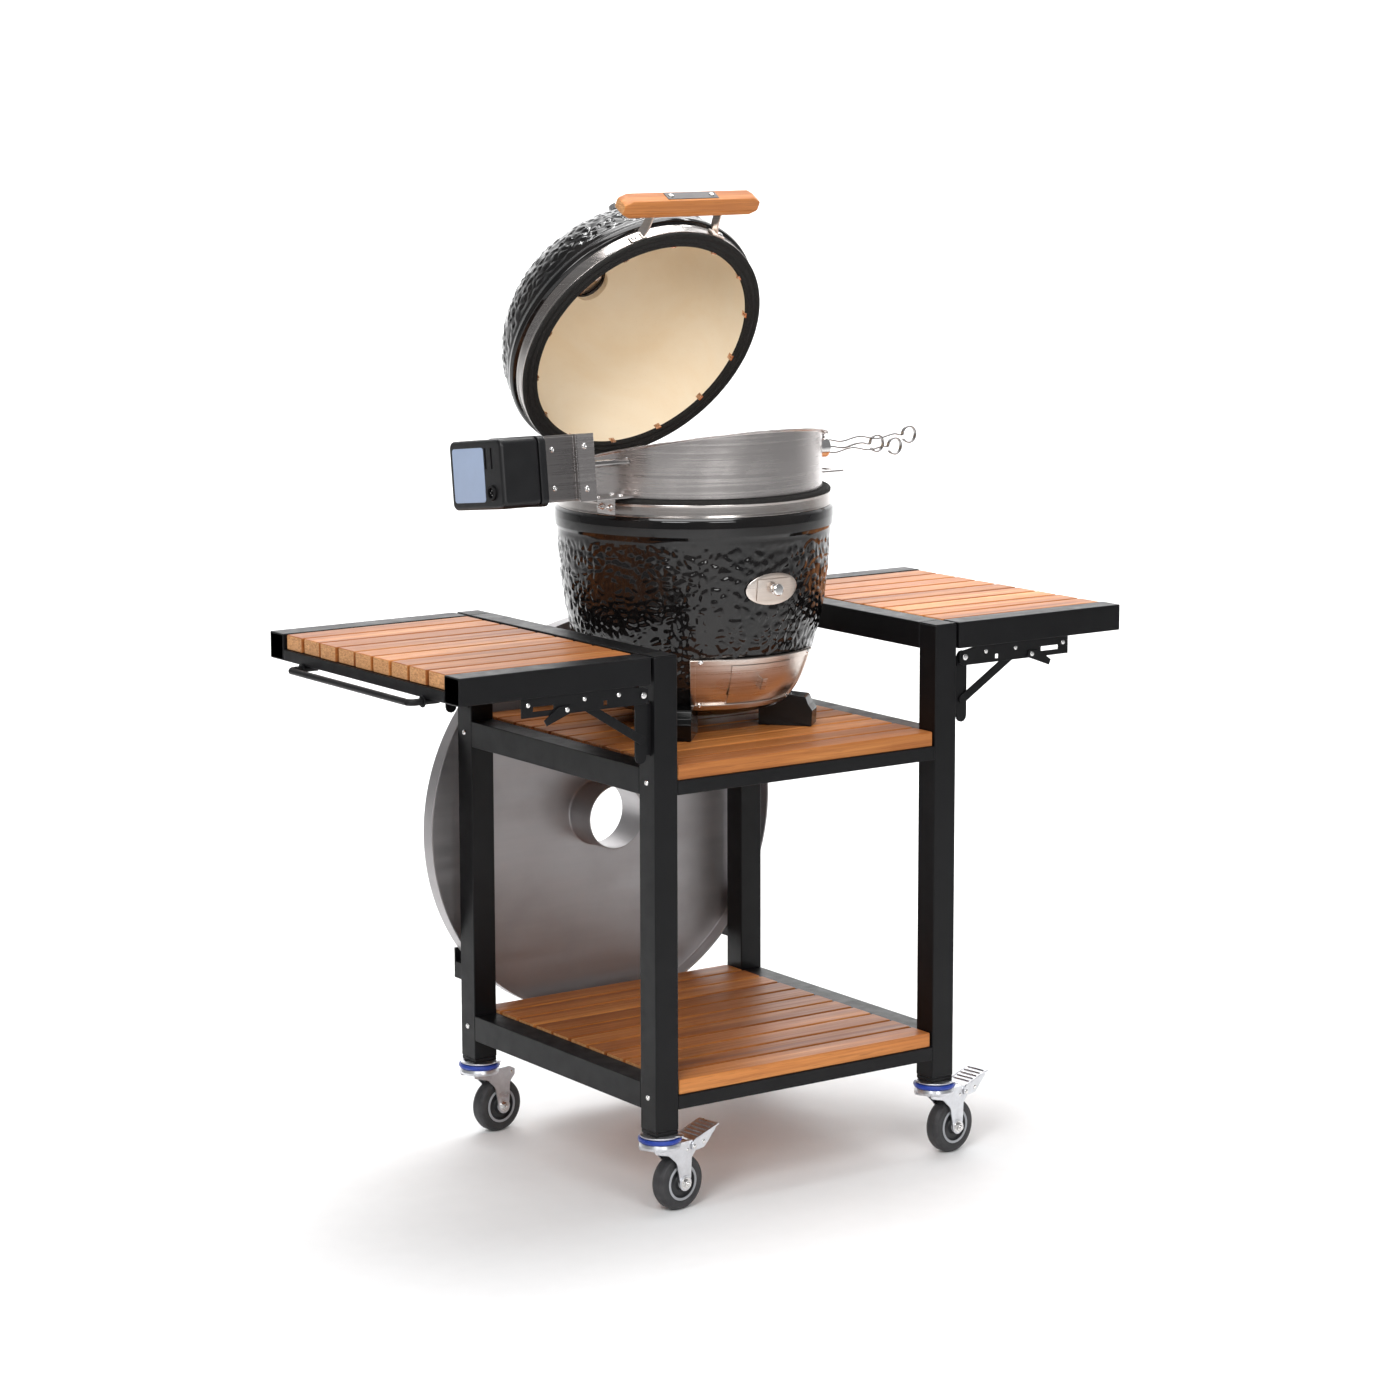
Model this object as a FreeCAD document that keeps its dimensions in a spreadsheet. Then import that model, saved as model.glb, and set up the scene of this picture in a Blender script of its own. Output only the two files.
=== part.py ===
"""Kamado charcoal grill with a rotisserie ring, standing on a wheeled cart with folding side shelves.

Millimetres. X runs to the right when facing the cart's front, Y runs to the back, Z is up from the floor.
The origin is on the floor below the middle of the whole object's bounding box.
"""
import FreeCAD, Part
import math
import os
import re

import Sketcher

doc = FreeCAD.newDocument("KamadoCart")

# ---------------------------------------------------------------- driving sizes
SIZES = {
    # shift of the cart's centre from the bounding box centre
    "shift_x": 13.5, "shift_y": -41.09,
    # cart frame
    "tube": 40, "wall": 2, "cart_w": 550, "cart_d": 538, "leg_foot": 127, "cart_top": 827,
    "low_rail": 157, "mid_rail": 622, "cross_tall": 21, "slat_thick": 22, "slat_gap": 4.5,
    "slat_play": 2, "insert_tall": 6,
    # folding side shelves
    "shelf_l": 319, "shelf_gap": 5, "strip_tall": 17, "strip_wide": 40, "top_slat": 22.5,
    "fold_out": 17.5, "fold_drop": 54, "plate_thick": 2.5, "arm_l": 204,
    "leaf_wide": 19, "leaf_drop": 100, "brace_wide": 13, "brace_drop": 65, "rail_rod": 5,
    "brace_run": 103.5, "lever_at": 130, "pin_r": 3.5,
    # castors
    "wheel_r": 42, "wheel_wide": 26, "trail": 34, "swing": 8, "dust_r": 32.5, "cup_r": 30, "fork_top": 104,
    "fork_wide": 36, "hub_r": 27, "axle_r": 4, "pedal_at": 50, "pedal_z": 95,
    # ceramic body
    "body_y": 25, "rim_z": 1026, "bulge_r": 211, "band_r": 207.5, "band_tall": 20, "gasket_tall": 6,
    "mouth_r": 182, "shell_thick": 24, "foot_l": 66, "foot_w": 34, "foot_tall": 52,
    # lid and its hinge, as turned open about the hinge axis
    "hinge_y": 270, "hinge_z": 1008, "lid_open": 58.5, "lid_tall": 195, "ring_slope": 12.6, "motor_lean": 6.5,
    "grip_l": 248, "grip_tall": 26, "grip_deep": 30, "grip_out": 252, "grip_up": 14,
    # rotisserie
    "ring_r": 194, "sheet": 2, "flange": 10, "spit_y": -55, "spit_z": 1080, "drive_r": 5.5,
    "case_x": -436, "case_deep": 76, "case_wide": 142, "case_tall": 100, "holder_x": -262,
    "hub_disc": 16.3, "skewer_w": 6, "skewer_t": 2, "loop_r": 13.5,
    # fire plate behind the cart
    "disc_r": 322, "disc_z": 478, "disc_front": 273, "disc_deep": 26, "disc_thick": 3,
    "collar_r": 52, "collar_l": 60,
}

sheet = doc.addObject("Spreadsheet::Sheet", "Sheet")
for row, (alias, value) in enumerate(SIZES.items(), start=1):
    sheet.set("A%d" % row, alias)
    sheet.set("B%d" % row, str(value))
    sheet.setAlias("B%d" % row, alias)
doc.recompute()

ALIAS = re.compile(r"\b(%s)\b" % "|".join(sorted(SIZES, key=len, reverse=True)))
nodes = []


def linked(text):
    """An expression with every sheet alias in it linked to the sheet."""
    return ALIAS.sub(r"Sheet.\1", str(text))


def size(alias):
    """A driving size, read back from the sheet."""
    return float(sheet.get(alias))


def worth(text):
    """The number an expression gives now."""
    return float(sheet.evalExpression(linked(text)))


def bind(thing, **links):
    """Bind properties to expressions; a double underscore in a name stands for a dot."""
    for name, text in links.items():
        thing.setExpression(name.replace("__", "."), linked(text))
    return thing


def place(thing, x, y, z):
    return bind(thing, Placement__Base__x=x, Placement__Base__y=y, Placement__Base__z=z)


def block(x, y, z, lx, ly, lz):
    """A box from its lowest corner and its three sizes."""
    thing = doc.addObject("Part::Box", "Block")
    bind(thing, Length=lx, Width=ly, Height=lz)
    return place(thing, x, y, z)


AIM = {"x": FreeCAD.Rotation(FreeCAD.Vector(0, 1, 0), 90),
       "y": FreeCAD.Rotation(FreeCAD.Vector(1, 0, 0), -90),
       "z": FreeCAD.Rotation()}


def rod(x, y, z, radius, length, axis="z"):
    """A cylinder that starts at a point and runs along +X, +Y or +Z."""
    thing = doc.addObject("Part::Cylinder", "Rod")
    bind(thing, Radius=radius, Height=length)
    thing.Placement = FreeCAD.Placement(FreeCAD.Vector(), AIM[axis])
    return place(thing, x, y, z)


def cut(base, tool):
    thing = doc.addObject("Part::Cut", "Cut")
    thing.Base = base
    thing.Tool = tool
    return thing


def fuse(*parts):
    thing = doc.addObject("Part::MultiFuse", "Fuse")
    thing.Shapes = list(parts)
    return thing


def group(*parts):
    """Separate solids that share one node."""
    thing = doc.addObject("Part::Compound", "Group")
    thing.Links = list(parts)
    return thing


def from_shape(shape):
    """A feature whose shape is made with Part's own functions."""
    thing = doc.addObject("Part::Feature", "Form")
    thing.Shape = shape
    return thing


def node(label, thing, placement=None):
    """Name a finished sub-part; its placement carries the shift to the object's origin."""
    thing.Label = label
    shift = FreeCAD.Placement(FreeCAD.Vector(size("shift_x"), size("shift_y"), 0), FreeCAD.Rotation())
    thing.Placement = shift.multiply(placement or thing.Placement)
    nodes.append(thing)
    return thing


def origin_plane(body, role):
    return next(f for f in body.Origin.OriginFeatures if f.Role == role)


def outline(body, role, points):
    """A closed sketch of straight sides; each corner is bound to its two expressions."""
    sketch = body.newObject("Sketcher::SketchObject", "Outline")
    sketch.AttachmentSupport = [(origin_plane(body, role), "")]
    sketch.MapMode = "FlatFace"
    corners = [FreeCAD.Vector(worth(across), worth(up), 0) for across, up in points]
    count = len(corners)
    for i in range(count):
        sketch.addGeometry(Part.LineSegment(corners[i], corners[(i + 1) % count]), False)
    for i in range(count):
        sketch.addConstraint(Sketcher.Constraint("Coincident", i, 2, (i + 1) % count, 1))
    for i, (across, up) in enumerate(points):
        for kind, text, value in (("DistanceX", across, corners[i].x), ("DistanceY", up, corners[i].y)):
            index = sketch.addConstraint(Sketcher.Constraint(kind, -1, 1, i, 1, value))
            sketch.setExpression("Constraints[%d]" % index, linked(text))
    return sketch


def turned(points):
    """A body of revolution about its own Z axis from an outline of (radius, height)."""
    body = doc.addObject("PartDesign::Body", "Turned")
    sketch = outline(body, "XZ_Plane", points)
    feature = body.newObject("PartDesign::Revolution", "Revolution")
    feature.Profile = sketch
    feature.ReferenceAxis = (sketch, ["V_Axis"])
    feature.Angle = 360
    body.Tip = feature
    return body


def plate(role, points, thick):
    """A flat plate of any outline, padded evenly both ways from one of its body's planes."""
    body = doc.addObject("PartDesign::Body", "Plate")
    sketch = outline(body, role, points)
    feature = body.newObject("PartDesign::Pad", "Pad")
    feature.Profile = sketch
    feature.Midplane = True
    bind(feature, Length=thick)
    body.Tip = feature
    return body


def at(x, y, z, rotation=None):
    return FreeCAD.Placement(FreeCAD.Vector(x, y, z), rotation or FreeCAD.Rotation())


# ---------------------------------------------------------------- cart frame
SIDES = {"left": -1, "right": 1}


def hollow_tube(x, y, z, lx, ly, lz, axis):
    """A square tube, open at both ends along its axis."""
    inner = {"x": (x, "%s+wall" % y, "%s+wall" % z, lx, "%s-2*wall" % ly, "%s-2*wall" % lz),
             "y": ("%s+wall" % x, y, "%s+wall" % z, "%s-2*wall" % lx, ly, "%s-2*wall" % lz),
             "z": ("%s+wall" % x, "%s+wall" % y, z, "%s-2*wall" % lx, "%s-2*wall" % ly, lz)}[axis]
    return cut(block(x, y, z, lx, ly, lz), block(*inner))


def cart_frame():
    leg_corners = [(x, y) for x in ("-cart_w/2", "cart_w/2-tube") for y in ("-cart_d/2", "cart_d/2-tube")]
    legs = [cut(block(x, y, "leg_foot", "tube", "tube", "cart_top-leg_foot"),
                block(x + "+wall", y + "+wall", "leg_foot", "tube-2*wall", "tube-2*wall", "cart_top-leg_foot-wall"))
            for x, y in leg_corners]
    node("cart_legs", group(*legs))
    span = "cart_d-2*tube"
    rails = [hollow_tube(x, "-cart_d/2+tube", z, "tube", span, "tube", "y")
             for x in ("-cart_w/2", "cart_w/2-tube") for z in ("low_rail", "mid_rail", "cart_top-tube")]
    node("side_rails", group(*rails))
    crosses = [hollow_tube("-cart_w/2+tube", y, z, "cart_w-2*tube", "tube", "cross_tall", "x")
               for y in ("-cart_d/2", "cart_d/2-tube") for z in ("low_rail", "mid_rail")]
    node("cross_rails", group(*crosses))


def slat_row(x, length, first, pitch, count, z, thick):
    """Parallel slats along X, side by side in Y with a gap between them."""
    return [block(x, "%s+(%s)*%d+slat_gap/2" % (first, pitch, i), z, length, "%s-slat_gap" % pitch, thick)
            for i in range(count)]


def cart_shelves():
    pitch = "(cart_d/11)"
    for label, rail in (("middle_shelf_slats", "mid_rail"), ("bottom_shelf_slats", "low_rail")):
        slats = slat_row("-cart_w/2+tube+slat_play", "cart_w-2*tube-2*slat_play", "-cart_d/2", pitch, 11,
                         "%s+cross_tall" % rail, "slat_thick")
        node(label, group(*slats))


# ---------------------------------------------------------------- folding side shelves
def mirrored_x(side, x, width):
    """Lowest x of a piece that starts at x outside the cart and is as wide as given."""
    return "-(%s)-(%s)" % (x, width) if side < 0 else "%s" % x


def folding_shelf(name, side):
    start = "cart_w/2+shelf_gap"

    def bar(x, y, z, lx, ly, lz):
        return block(mirrored_x(side, x, lx), y, z, lx, ly, lz)

    bottom = "cart_top-tube"
    strip = "cart_d-2*tube"
    frame = fuse(bar(start, "-cart_d/2", bottom, "shelf_l", "tube", "tube"),
                 bar(start, "cart_d/2-tube", bottom, "shelf_l", "tube", "tube"),
                 bar(start, "-cart_d/2+tube", bottom, "strip_wide", strip, "strip_tall"),
                 bar("%s+shelf_l-strip_wide" % start, "-cart_d/2+tube", bottom, "strip_wide", strip,
                     "strip_tall"))
    cores = [bar(start, y, bottom + "+wall", "shelf_l-wall", "tube-2*wall", "tube-2*wall")
             for y in ("-cart_d/2+wall", "cart_d/2-tube+wall")]
    frame = cut(frame, fuse(*cores))
    node("shelf_frame_" + name, frame)
    slats = slat_row(mirrored_x(side, start + "+2", "shelf_l-5"), "shelf_l-5", "-cart_d/2+tube+2",
                     "((cart_d-2*tube-4)/9)", 9, bottom + "+strip_tall", "top_slat")
    node("shelf_slats_" + name, group(*slats))
    return folding_brackets(name, side)


def arc_end(cx, cz, radius, start, stop, steps=6):
    """Corner points of a rounded end, as numbers."""
    points = []
    for i in range(steps + 1):
        angle = math.radians(start + (stop - start) * i / steps)
        points.append((cx + radius * math.cos(angle), cz + radius * math.sin(angle)))
    return points


def bar_between(ax, az, bx, bz, half, thick):
    """A flat bar with round ends between two pivots in the XZ plane, about its own first pivot."""
    run = math.hypot(bx - ax, bz - az)
    points = arc_end(run, 0, half, -90, 90) + arc_end(0, 0, half, 90, 270)
    body = plate("XY_Plane", points, thick)
    turn = FreeCAD.Rotation(FreeCAD.Vector(1, 0, 0), 90)
    aim = FreeCAD.Rotation(FreeCAD.Vector(0, 1, 0), -math.degrees(math.atan2(bz - az, bx - ax)))
    return body, aim.multiply(turn)


def turned_about(thing, x, y, z, axis, angle):
    """Placement of a finished sub-part after a turn about an axis through a point."""
    spin = FreeCAD.Rotation(FreeCAD.Vector(*axis), angle)
    turn = FreeCAD.Placement(FreeCAD.Vector(), spin, FreeCAD.Vector(x, y, z))
    return turn.multiply(thing.Placement)


def folding_brackets(name, side):
    """Each shelf folds on two brackets: a fixed leaf, an arm, a brace and a release lever on each."""
    fold_x = side * (size("cart_w") / 2 + size("fold_out"))
    fold_z = size("cart_top") - size("fold_drop")
    low_z = fold_z - size("brace_drop")
    end_x = fold_x + side * size("brace_run")
    layer = size("plate_thick") + 0.5
    pin_r = size("pin_r")
    arms, braces, levers, leaves = [], [], [], []
    for face in (-1, 1):
        outer_y = face * (size("cart_d") / 2 - 1.1)
        arm_y = outer_y - face * layer
        brace_y = arm_y - face * layer
        leaf_y = brace_y - face * layer

        def flat(points, y, x=fold_x, z=fold_z, thick="plate_thick"):
            body = plate("XZ_Plane", [(side * u, v) for u, v in points], thick)
            body.Placement = at(x, y, z)
            return body

        def pin(x, z, radius, y_from, y_to):
            return rod(x, min(y_from, y_to), z, radius, abs(y_to - y_from), "y")

        arm = flat([(-9, -9), (0, -13), (size("arm_l"), -13), (size("arm_l"), 14), (20, 14), (-9, 9)], arm_y)
        slot = flat([(150, -5), (185, -5), (185, 2), (150, 2)], arm_y, thick=8)
        notch = flat([(60, -8), (67, -8), (67, -1), (60, -1)], arm_y, thick=8)
        hole = pin(fold_x, fold_z, pin_r + 0.05, arm_y - 4, arm_y + 4)
        lever_x = fold_x + side * size("lever_at")
        lever_hole = pin(lever_x, fold_z - 7, 2.05, arm_y - 4, arm_y + 4)
        arms.append(cut(arm, fuse(slot, notch, hole, lever_hole)))

        bar, rotation = bar_between(fold_x, low_z, end_x, fold_z - 1, size("brace_wide") / 2, "plate_thick")
        bar.Placement = at(fold_x, brace_y, low_z, rotation)
        braces.append(cut(bar, pin(fold_x, low_z, pin_r + 0.05, brace_y - 4, brace_y + 4)))

        lever = flat([(-9, -4), (34, -20), (38, -12), (14, 5), (-6, 6)], outer_y, lever_x, fold_z - 7, 1.8)
        levers.append(fuse(lever, pin(lever_x, fold_z - 7, 2, arm_y - face * 1.25, outer_y)))

        half = size("leaf_wide") / 2
        leaf = flat(arc_end(0, 0, half, 0, 180) + arc_end(0, half - size("leaf_drop"), half, 180, 360), leaf_y)
        back = flat([(-17.5, -90), (-15, -90), (-15, -12), (-17.5, -12)], leaf_y - face * 12, thick=26)
        bridge = flat([(-16, -88), (-8, -88), (-8, -14), (-16, -14)], leaf_y)
        fold_pin = pin(fold_x, fold_z, pin_r, leaf_y, arm_y + face * 1.3)
        fold_head = pin(fold_x, fold_z, 5, arm_y + face * 1.35, arm_y + face * 3.2)
        low_pin = pin(fold_x, low_z, pin_r, leaf_y, brace_y + face * 1.3)
        leaves.append(fuse(leaf, back, bridge, fold_pin, fold_head, low_pin))
    node("bracket_arms_" + name, group(*arms))
    node("bracket_braces_" + name, group(*braces))
    node("release_levers_" + name, group(*levers))
    return leaves


def towel_rail():
    """A bent rod under the outer end of the left shelf."""
    far = "-cart_w/2-shelf_gap-shelf_l-22"
    reach = "45"
    z = "cart_top-tube-rail_rod"
    legs = [rod(far, y, z, "rail_rod", reach, "x") for y in (-172, 172)]
    bar = rod(far, -172, z, "rail_rod", 344, "y")
    corners = []
    for y in (-172, 172):
        ball = doc.addObject("Part::Sphere", "Bend")
        bind(ball, Radius="rail_rod")
        corners.append(place(ball, far, y, z))
    node("towel_rail", fuse(bar, *legs, *corners))


# ---------------------------------------------------------------- castors
def castor(name, x, y, braked):
    """A swivel castor that trails towards +X: fork with axle, wheel, and a brake pedal on the front pair."""
    wide = "fork_wide"
    top = block("%f-24" % x, "%f-%s/2" % (y, wide), "fork_top-4", 50, wide, 4)
    cheeks = []
    for face in (-1, 1):
        cheek = plate("XZ_Plane", [(-22, "fork_top"), (46, "fork_top"), (57, 99), (57, 91), (48, 80),
                                   ("trail+11", "wheel_r+10"), ("trail+8", "wheel_r-9"),
                                   ("trail-8", "wheel_r-9"), ("trail-12", "wheel_r+14"),
                                   (4, "wheel_r+40"), (-22, "fork_top-8")], 2.5)
        cheek.Placement = at(x, y + face * (size("fork_wide") / 2 - 1.25), 0)
        cheeks.append(cheek)
    race = rod(x, y, "fork_top", "cup_r", 5)
    axle = rod("%f+trail" % x, "%f-%s/2-4" % (y, wide), "wheel_r", "axle_r", "%s+8" % wide, "y")
    heads = [rod("%f+trail" % x, "%f" % (y + face * (size("fork_wide") / 2 + 2) - 2), "wheel_r", 7, 4, "y")
             for face in (-1, 1)]
    fork = fuse(top, *cheeks, race, axle, *heads)
    if braked:
        fork = cut(fork, rod("%f+pedal_at" % x, "%f-30" % y, "pedal_z", 2.55, 60, "y"))
    node("castor_fork_" + name, fork, turned_about(fork, x, y, 0, (0, 0, 1), size("swing")))
    tyre = turned([("hub_r", "-wheel_wide/2+2"), ("wheel_r-3", "-wheel_wide/2"), ("wheel_r", "-wheel_wide/2+5"),
                   ("wheel_r", "wheel_wide/2-5"), ("wheel_r-3", "wheel_wide/2"), ("hub_r", "wheel_wide/2-2")])
    hub = turned([("axle_r+0.05", "-wheel_wide/2-1"), ("hub_r-8", "-wheel_wide/2-1"), ("hub_r", "-wheel_wide/2+2"),
                  ("hub_r", "wheel_wide/2-2"), ("hub_r-8", "wheel_wide/2+1"), ("axle_r+0.05", "wheel_wide/2+1")])
    lay = FreeCAD.Rotation(FreeCAD.Vector(1, 0, 0), 90)
    for part in (tyre, hub):
        part.Placement = at(x + size("trail"), y, size("wheel_r"), lay)
    wheel = group(tyre, hub)
    node("castor_wheel_" + name, wheel, turned_about(wheel, x, y, 0, (0, 0, 1), size("swing")))
    if braked:
        tread = plate("XZ_Plane", [(50, 107), (98, 124), (100, 121.5), (52, 104.5)], 42)
        pedal_cheeks = []
        for face in (-1, 1):
            cheek = plate("XZ_Plane", [(51, 107), (96, 122), (68, 92), (56, 90), (46, 91), (46, 98)], 2)
            cheek.Placement = at(x, y + face * (size("fork_wide") / 2 + 1.6), 0)
            pedal_cheeks.append(cheek)
        tread.Placement = at(x, y, 0)
        pin = rod("%f+pedal_at" % x, "%f-fork_wide/2-2" % y, "pedal_z", 2.5, "fork_wide+4", "y")
        pedal = fuse(tread, *pedal_cheeks, pin)
        node("brake_pedal_" + name, pedal, turned_about(pedal, x, y, 0, (0, 0, 1), size("swing")))


def castors():
    spots = {}
    for name_y, y in (("front", -1), ("rear", 1)):
        for name_x, x in SIDES.items():
            spots[name_y + "_" + name_x] = (x * (size("cart_w") - size("tube")) / 2,
                                            y * (size("cart_d") - size("tube")) / 2)
    mounts, rings = [], []
    for name, (x, y) in spots.items():
        plate_top = rod(x, y, "fork_top+12.5", "cup_r-2", 4.5)
        cup = rod(x, y, "fork_top+5.5", "cup_r-4", 7.5)
        insert = block("%f-tube/2+0.6" % x, "%f-tube/2+0.6" % y, "leg_foot-insert_tall",
                       "tube-1.2", "tube-1.2", "insert_tall")
        mounts += [fuse(plate_top, cup), insert]
        outer = rod(x, y, "fork_top+5.6", "dust_r", 6.6)
        rings.append(cut(outer, rod(x, y, "fork_top+5", "cup_r-3.9", 8)))
    node("castor_mounts", group(*mounts))
    node("castor_dust_rings", group(*rings))
    for name, (x, y) in spots.items():
        castor(name, x, y, name.startswith("front"))


# ---------------------------------------------------------------- ceramic body
UP = FreeCAD.Vector(0, 0, 1)


def spline(points):
    curve = Part.BSplineCurve()
    curve.interpolate([FreeCAD.Vector(r, 0, z) for r, z in points])
    return curve


def body_outside():
    """The bowl's outer wall from its foot circle to the start of the bulge."""
    rim = size("rim_z")
    wall = size("bulge_r") - 3
    return [(0.46 * wall, rim - 338), (0.62 * wall, rim - 327), (0.765 * wall, rim - 294), (0.866 * wall, rim - 244),
            (0.933 * wall, rim - 192), (0.974 * wall, rim - 136), (0.994 * wall, rim - 84), (wall, rim - 62)]


def body_inside():
    rim = size("rim_z")
    mouth = size("mouth_r")
    return [(mouth, rim - 62), (0.985 * mouth, rim - 130), (0.93 * mouth, rim - 192), (0.845 * mouth, rim - 244),
            (0.72 * mouth, rim - 286), (0.53 * mouth, rim - 311), (0.3 * mouth, rim - 315)]


def revolve(edges, start=0.0, sweep=360.0):
    """A solid of revolution about the body's axis from a closed run of edges in the XZ plane."""
    face = Part.Face(Part.Wire(Part.__sortEdges__(edges)))
    face.rotate(FreeCAD.Vector(), UP, start - 90)
    return face.revolve(FreeCAD.Vector(), UP, sweep)


def line(a, b):
    return Part.makeLine(FreeCAD.Vector(a[0], 0, a[1]), FreeCAD.Vector(b[0], 0, b[1]))


def bulge_arc(a, through, b):
    return Part.Arc(*[FreeCAD.Vector(r, 0, z) for r, z in (a, through, b)]).toShape()


def skin(low, high, inner, outer, start, sweep):
    """A thin sheet that follows the bowl's wall between two heights, its faces at two offsets from it.

    Angles are from the front, positive towards +X.
    """
    curve = spline(body_outside())
    first, last = curve.FirstParameter, curve.LastParameter
    spots = [first + (last - first) * i / 400 for i in range(401)]
    run = [u for u in spots if low <= curve.value(u).z <= high]
    run = [run[round(i * (len(run) - 1) / 6)] for i in range(7)]

    def offset(distance):
        points = []
        for u in run:
            point = curve.value(u)
            way = curve.tangent(u)[0]
            points.append((point.x + way.z * distance, point.z - way.x * distance))
        return points
    near, far = offset(inner), offset(outer)
    edges = [spline(near).toShape(), spline(far).toShape(), line(near[0], far[0]), line(near[-1], far[-1])]
    shape = revolve(edges, start, sweep)
    shape.translate(FreeCAD.Vector(0, size("body_y"), 0))
    return from_shape(shape)


def base_body():
    rim, mouth, band = size("rim_z"), size("mouth_r"), size("band_r") - 1.2
    top = rim - size("gasket_tall")
    outside, inside = body_outside(), body_inside()
    neck = top - size("band_tall")
    edges = [spline(outside).toShape(), spline(inside).toShape(),
             bulge_arc(outside[-1], (size("bulge_r") + 1, rim - 45), (band, neck)),
             line((band, neck), (band, top)), line((band, top), (mouth, top)), line((mouth, top), inside[0]),
             line(inside[-1], (0, inside[-1][1])), line((0, inside[-1][1]), (0, outside[0][1])),
             line((0, outside[0][1]), outside[0])]
    shell = from_shape(revolve(edges))
    place(shell, 0, "body_y", 0)
    draft = block(-52, "-bulge_r", "rim_z-300", 104, "bulge_r", 46)
    port = block(-34, "-bulge_r", "rim_z-148", 68, "bulge_r-100", 26)
    node("base_shell", cut(cut(shell, draft), port))

    band_ring = cut(rod(0, "body_y", "rim_z-gasket_tall-band_tall", "band_r", "band_tall"),
                    rod(0, "body_y", "rim_z-gasket_tall-band_tall-1", "band_r-1.2", "band_tall+2"))
    node("base_band", band_ring)
    gasket = cut(rod(0, "body_y", "rim_z-gasket_tall", "band_r", "gasket_tall"),
                 rod(0, "body_y", "rim_z-gasket_tall-1", "mouth_r+2", "gasket_tall+2"))
    node("base_gasket", gasket)


def body_feet():
    """Three blocks between the shelf and the bowl, cut to the bowl's curve."""
    shelf = "mid_rail+cross_tall+slat_thick"
    feet = []
    for angle in (-132, -48, 90):
        foot = doc.addObject("Part::Box", "Foot")
        bind(foot, Length="foot_l", Width="foot_w", Height="foot_tall")
        turn = FreeCAD.Rotation(UP, angle)
        base = FreeCAD.Vector(0, size("body_y"), worth(shelf))
        foot.Placement = FreeCAD.Placement(base + turn.multVec(FreeCAD.Vector(112, -size("foot_w") / 2, 0)), turn)
        feet.append(foot)
    rim = size("rim_z")
    outside = body_outside()
    edges = [spline([(r + 0.4, z - 0.4) for r, z in outside]).toShape(),
             line((outside[-1][0] + 0.4, outside[-1][1] - 0.4), (0, outside[-1][1])),
             line((0, outside[-1][1]), (0, outside[0][1] - 0.4)),
             line((0, outside[0][1] - 0.4), (outside[0][0] + 0.4, outside[0][1] - 0.4))]
    bowl = from_shape(revolve(edges))
    place(bowl, 0, "body_y", 0)
    door_room = skin(rim - 320, rim - 238, -1, 6, -38, 76)
    pads = [cut(cut(foot, bowl), door_room) for foot in feet]
    node("body_feet", group(*pads))


def fire_pieces():
    """The fire box and the charcoal grate inside the bowl."""
    box = turned([(55, "rim_z-311"), (90, "rim_z-310"), (112, "rim_z-296"), (140, "rim_z-250"),
                  (152, "rim_z-205"), (160, "rim_z-165"), (136, "rim_z-165"), (128, "rim_z-205"),
                  (116, "rim_z-240"), (112, "rim_z-252"), (112, "rim_z-262"), (96, "rim_z-262"),
                  (96, "rim_z-278"), (55, "rim_z-290")])
    place(box, 0, "body_y", 0)
    vent = block(-40, "-bulge_r", "rim_z-300", 80, "bulge_r-60", 40)
    node("fire_box", cut(box, vent))
    grate = rod(0, "body_y", "rim_z-261.5", 108, 6)
    for i in range(-4, 5):
        half = math.sqrt(98 ** 2 - (i * 20) ** 2)
        grate = cut(grate, block(i * 20 - 6, "body_y-%f" % half, "rim_z-265", 12, 2 * half, 12))
    node("charcoal_grate", grate)


def draft_door():
    low, high = size("rim_z") - 318, size("rim_z") - 238
    frame = skin(low, high, 0.4, 2.0, -37, 74)
    window = block(-50, "-bulge_r", "rim_z-298", 100, "bulge_r", 42)
    rails = [skin(low, low + 9, 0.4, 5.0, -37, 74), skin(high - 9, high, 0.4, 5.0, -37, 74)]
    node("draft_door_frame", fuse(cut(frame, window), *rails))
    door = skin(low + 10.5, high - 10.5, 2.4, 3.8, -19, 38)
    pull = block(6, "body_y-bulge_r*0.895", "rim_z-278", 2, 12, 20)
    pull_lip = block(6, "body_y-bulge_r*0.895", "rim_z-278", 10, 2, 20)
    node("draft_door", fuse(door, pull, pull_lip))


def oval_prism(half_x, half_z, depth):
    """An oval bar along Y through the feeder port."""
    oval = Part.Ellipse(FreeCAD.Vector(0, 0, 0), half_x, half_z).toShape()
    face = Part.Face(Part.Wire([oval]))
    face.rotate(FreeCAD.Vector(), FreeCAD.Vector(1, 0, 0), 90)
    face.translate(FreeCAD.Vector(0, 0, size("rim_z") - 135))
    return from_shape(face.extrude(FreeCAD.Vector(0, -depth, 0)))


def feeder_port():
    low, high = size("rim_z") - 165, size("rim_z") - 105
    sheet_metal = skin(low, high, 0.4, 2.2, -22, 44)
    common = doc.addObject("Part::Common", "Oval")
    common.Base = sheet_metal
    common.Tool = oval_prism(46, 24, 240)
    window = block(-24, "-bulge_r", "rim_z-146", 48, "bulge_r", 22)
    node("feeder_plate", cut(common, window))
    shutter = skin(low + 12, high - 12, 2.6, 4.0, -8.5, 17)
    knob = rod(0, "body_y-band_r-12", "rim_z-135", 9, 13, "y")
    node("feeder_shutter", fuse(shutter, knob))


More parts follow.
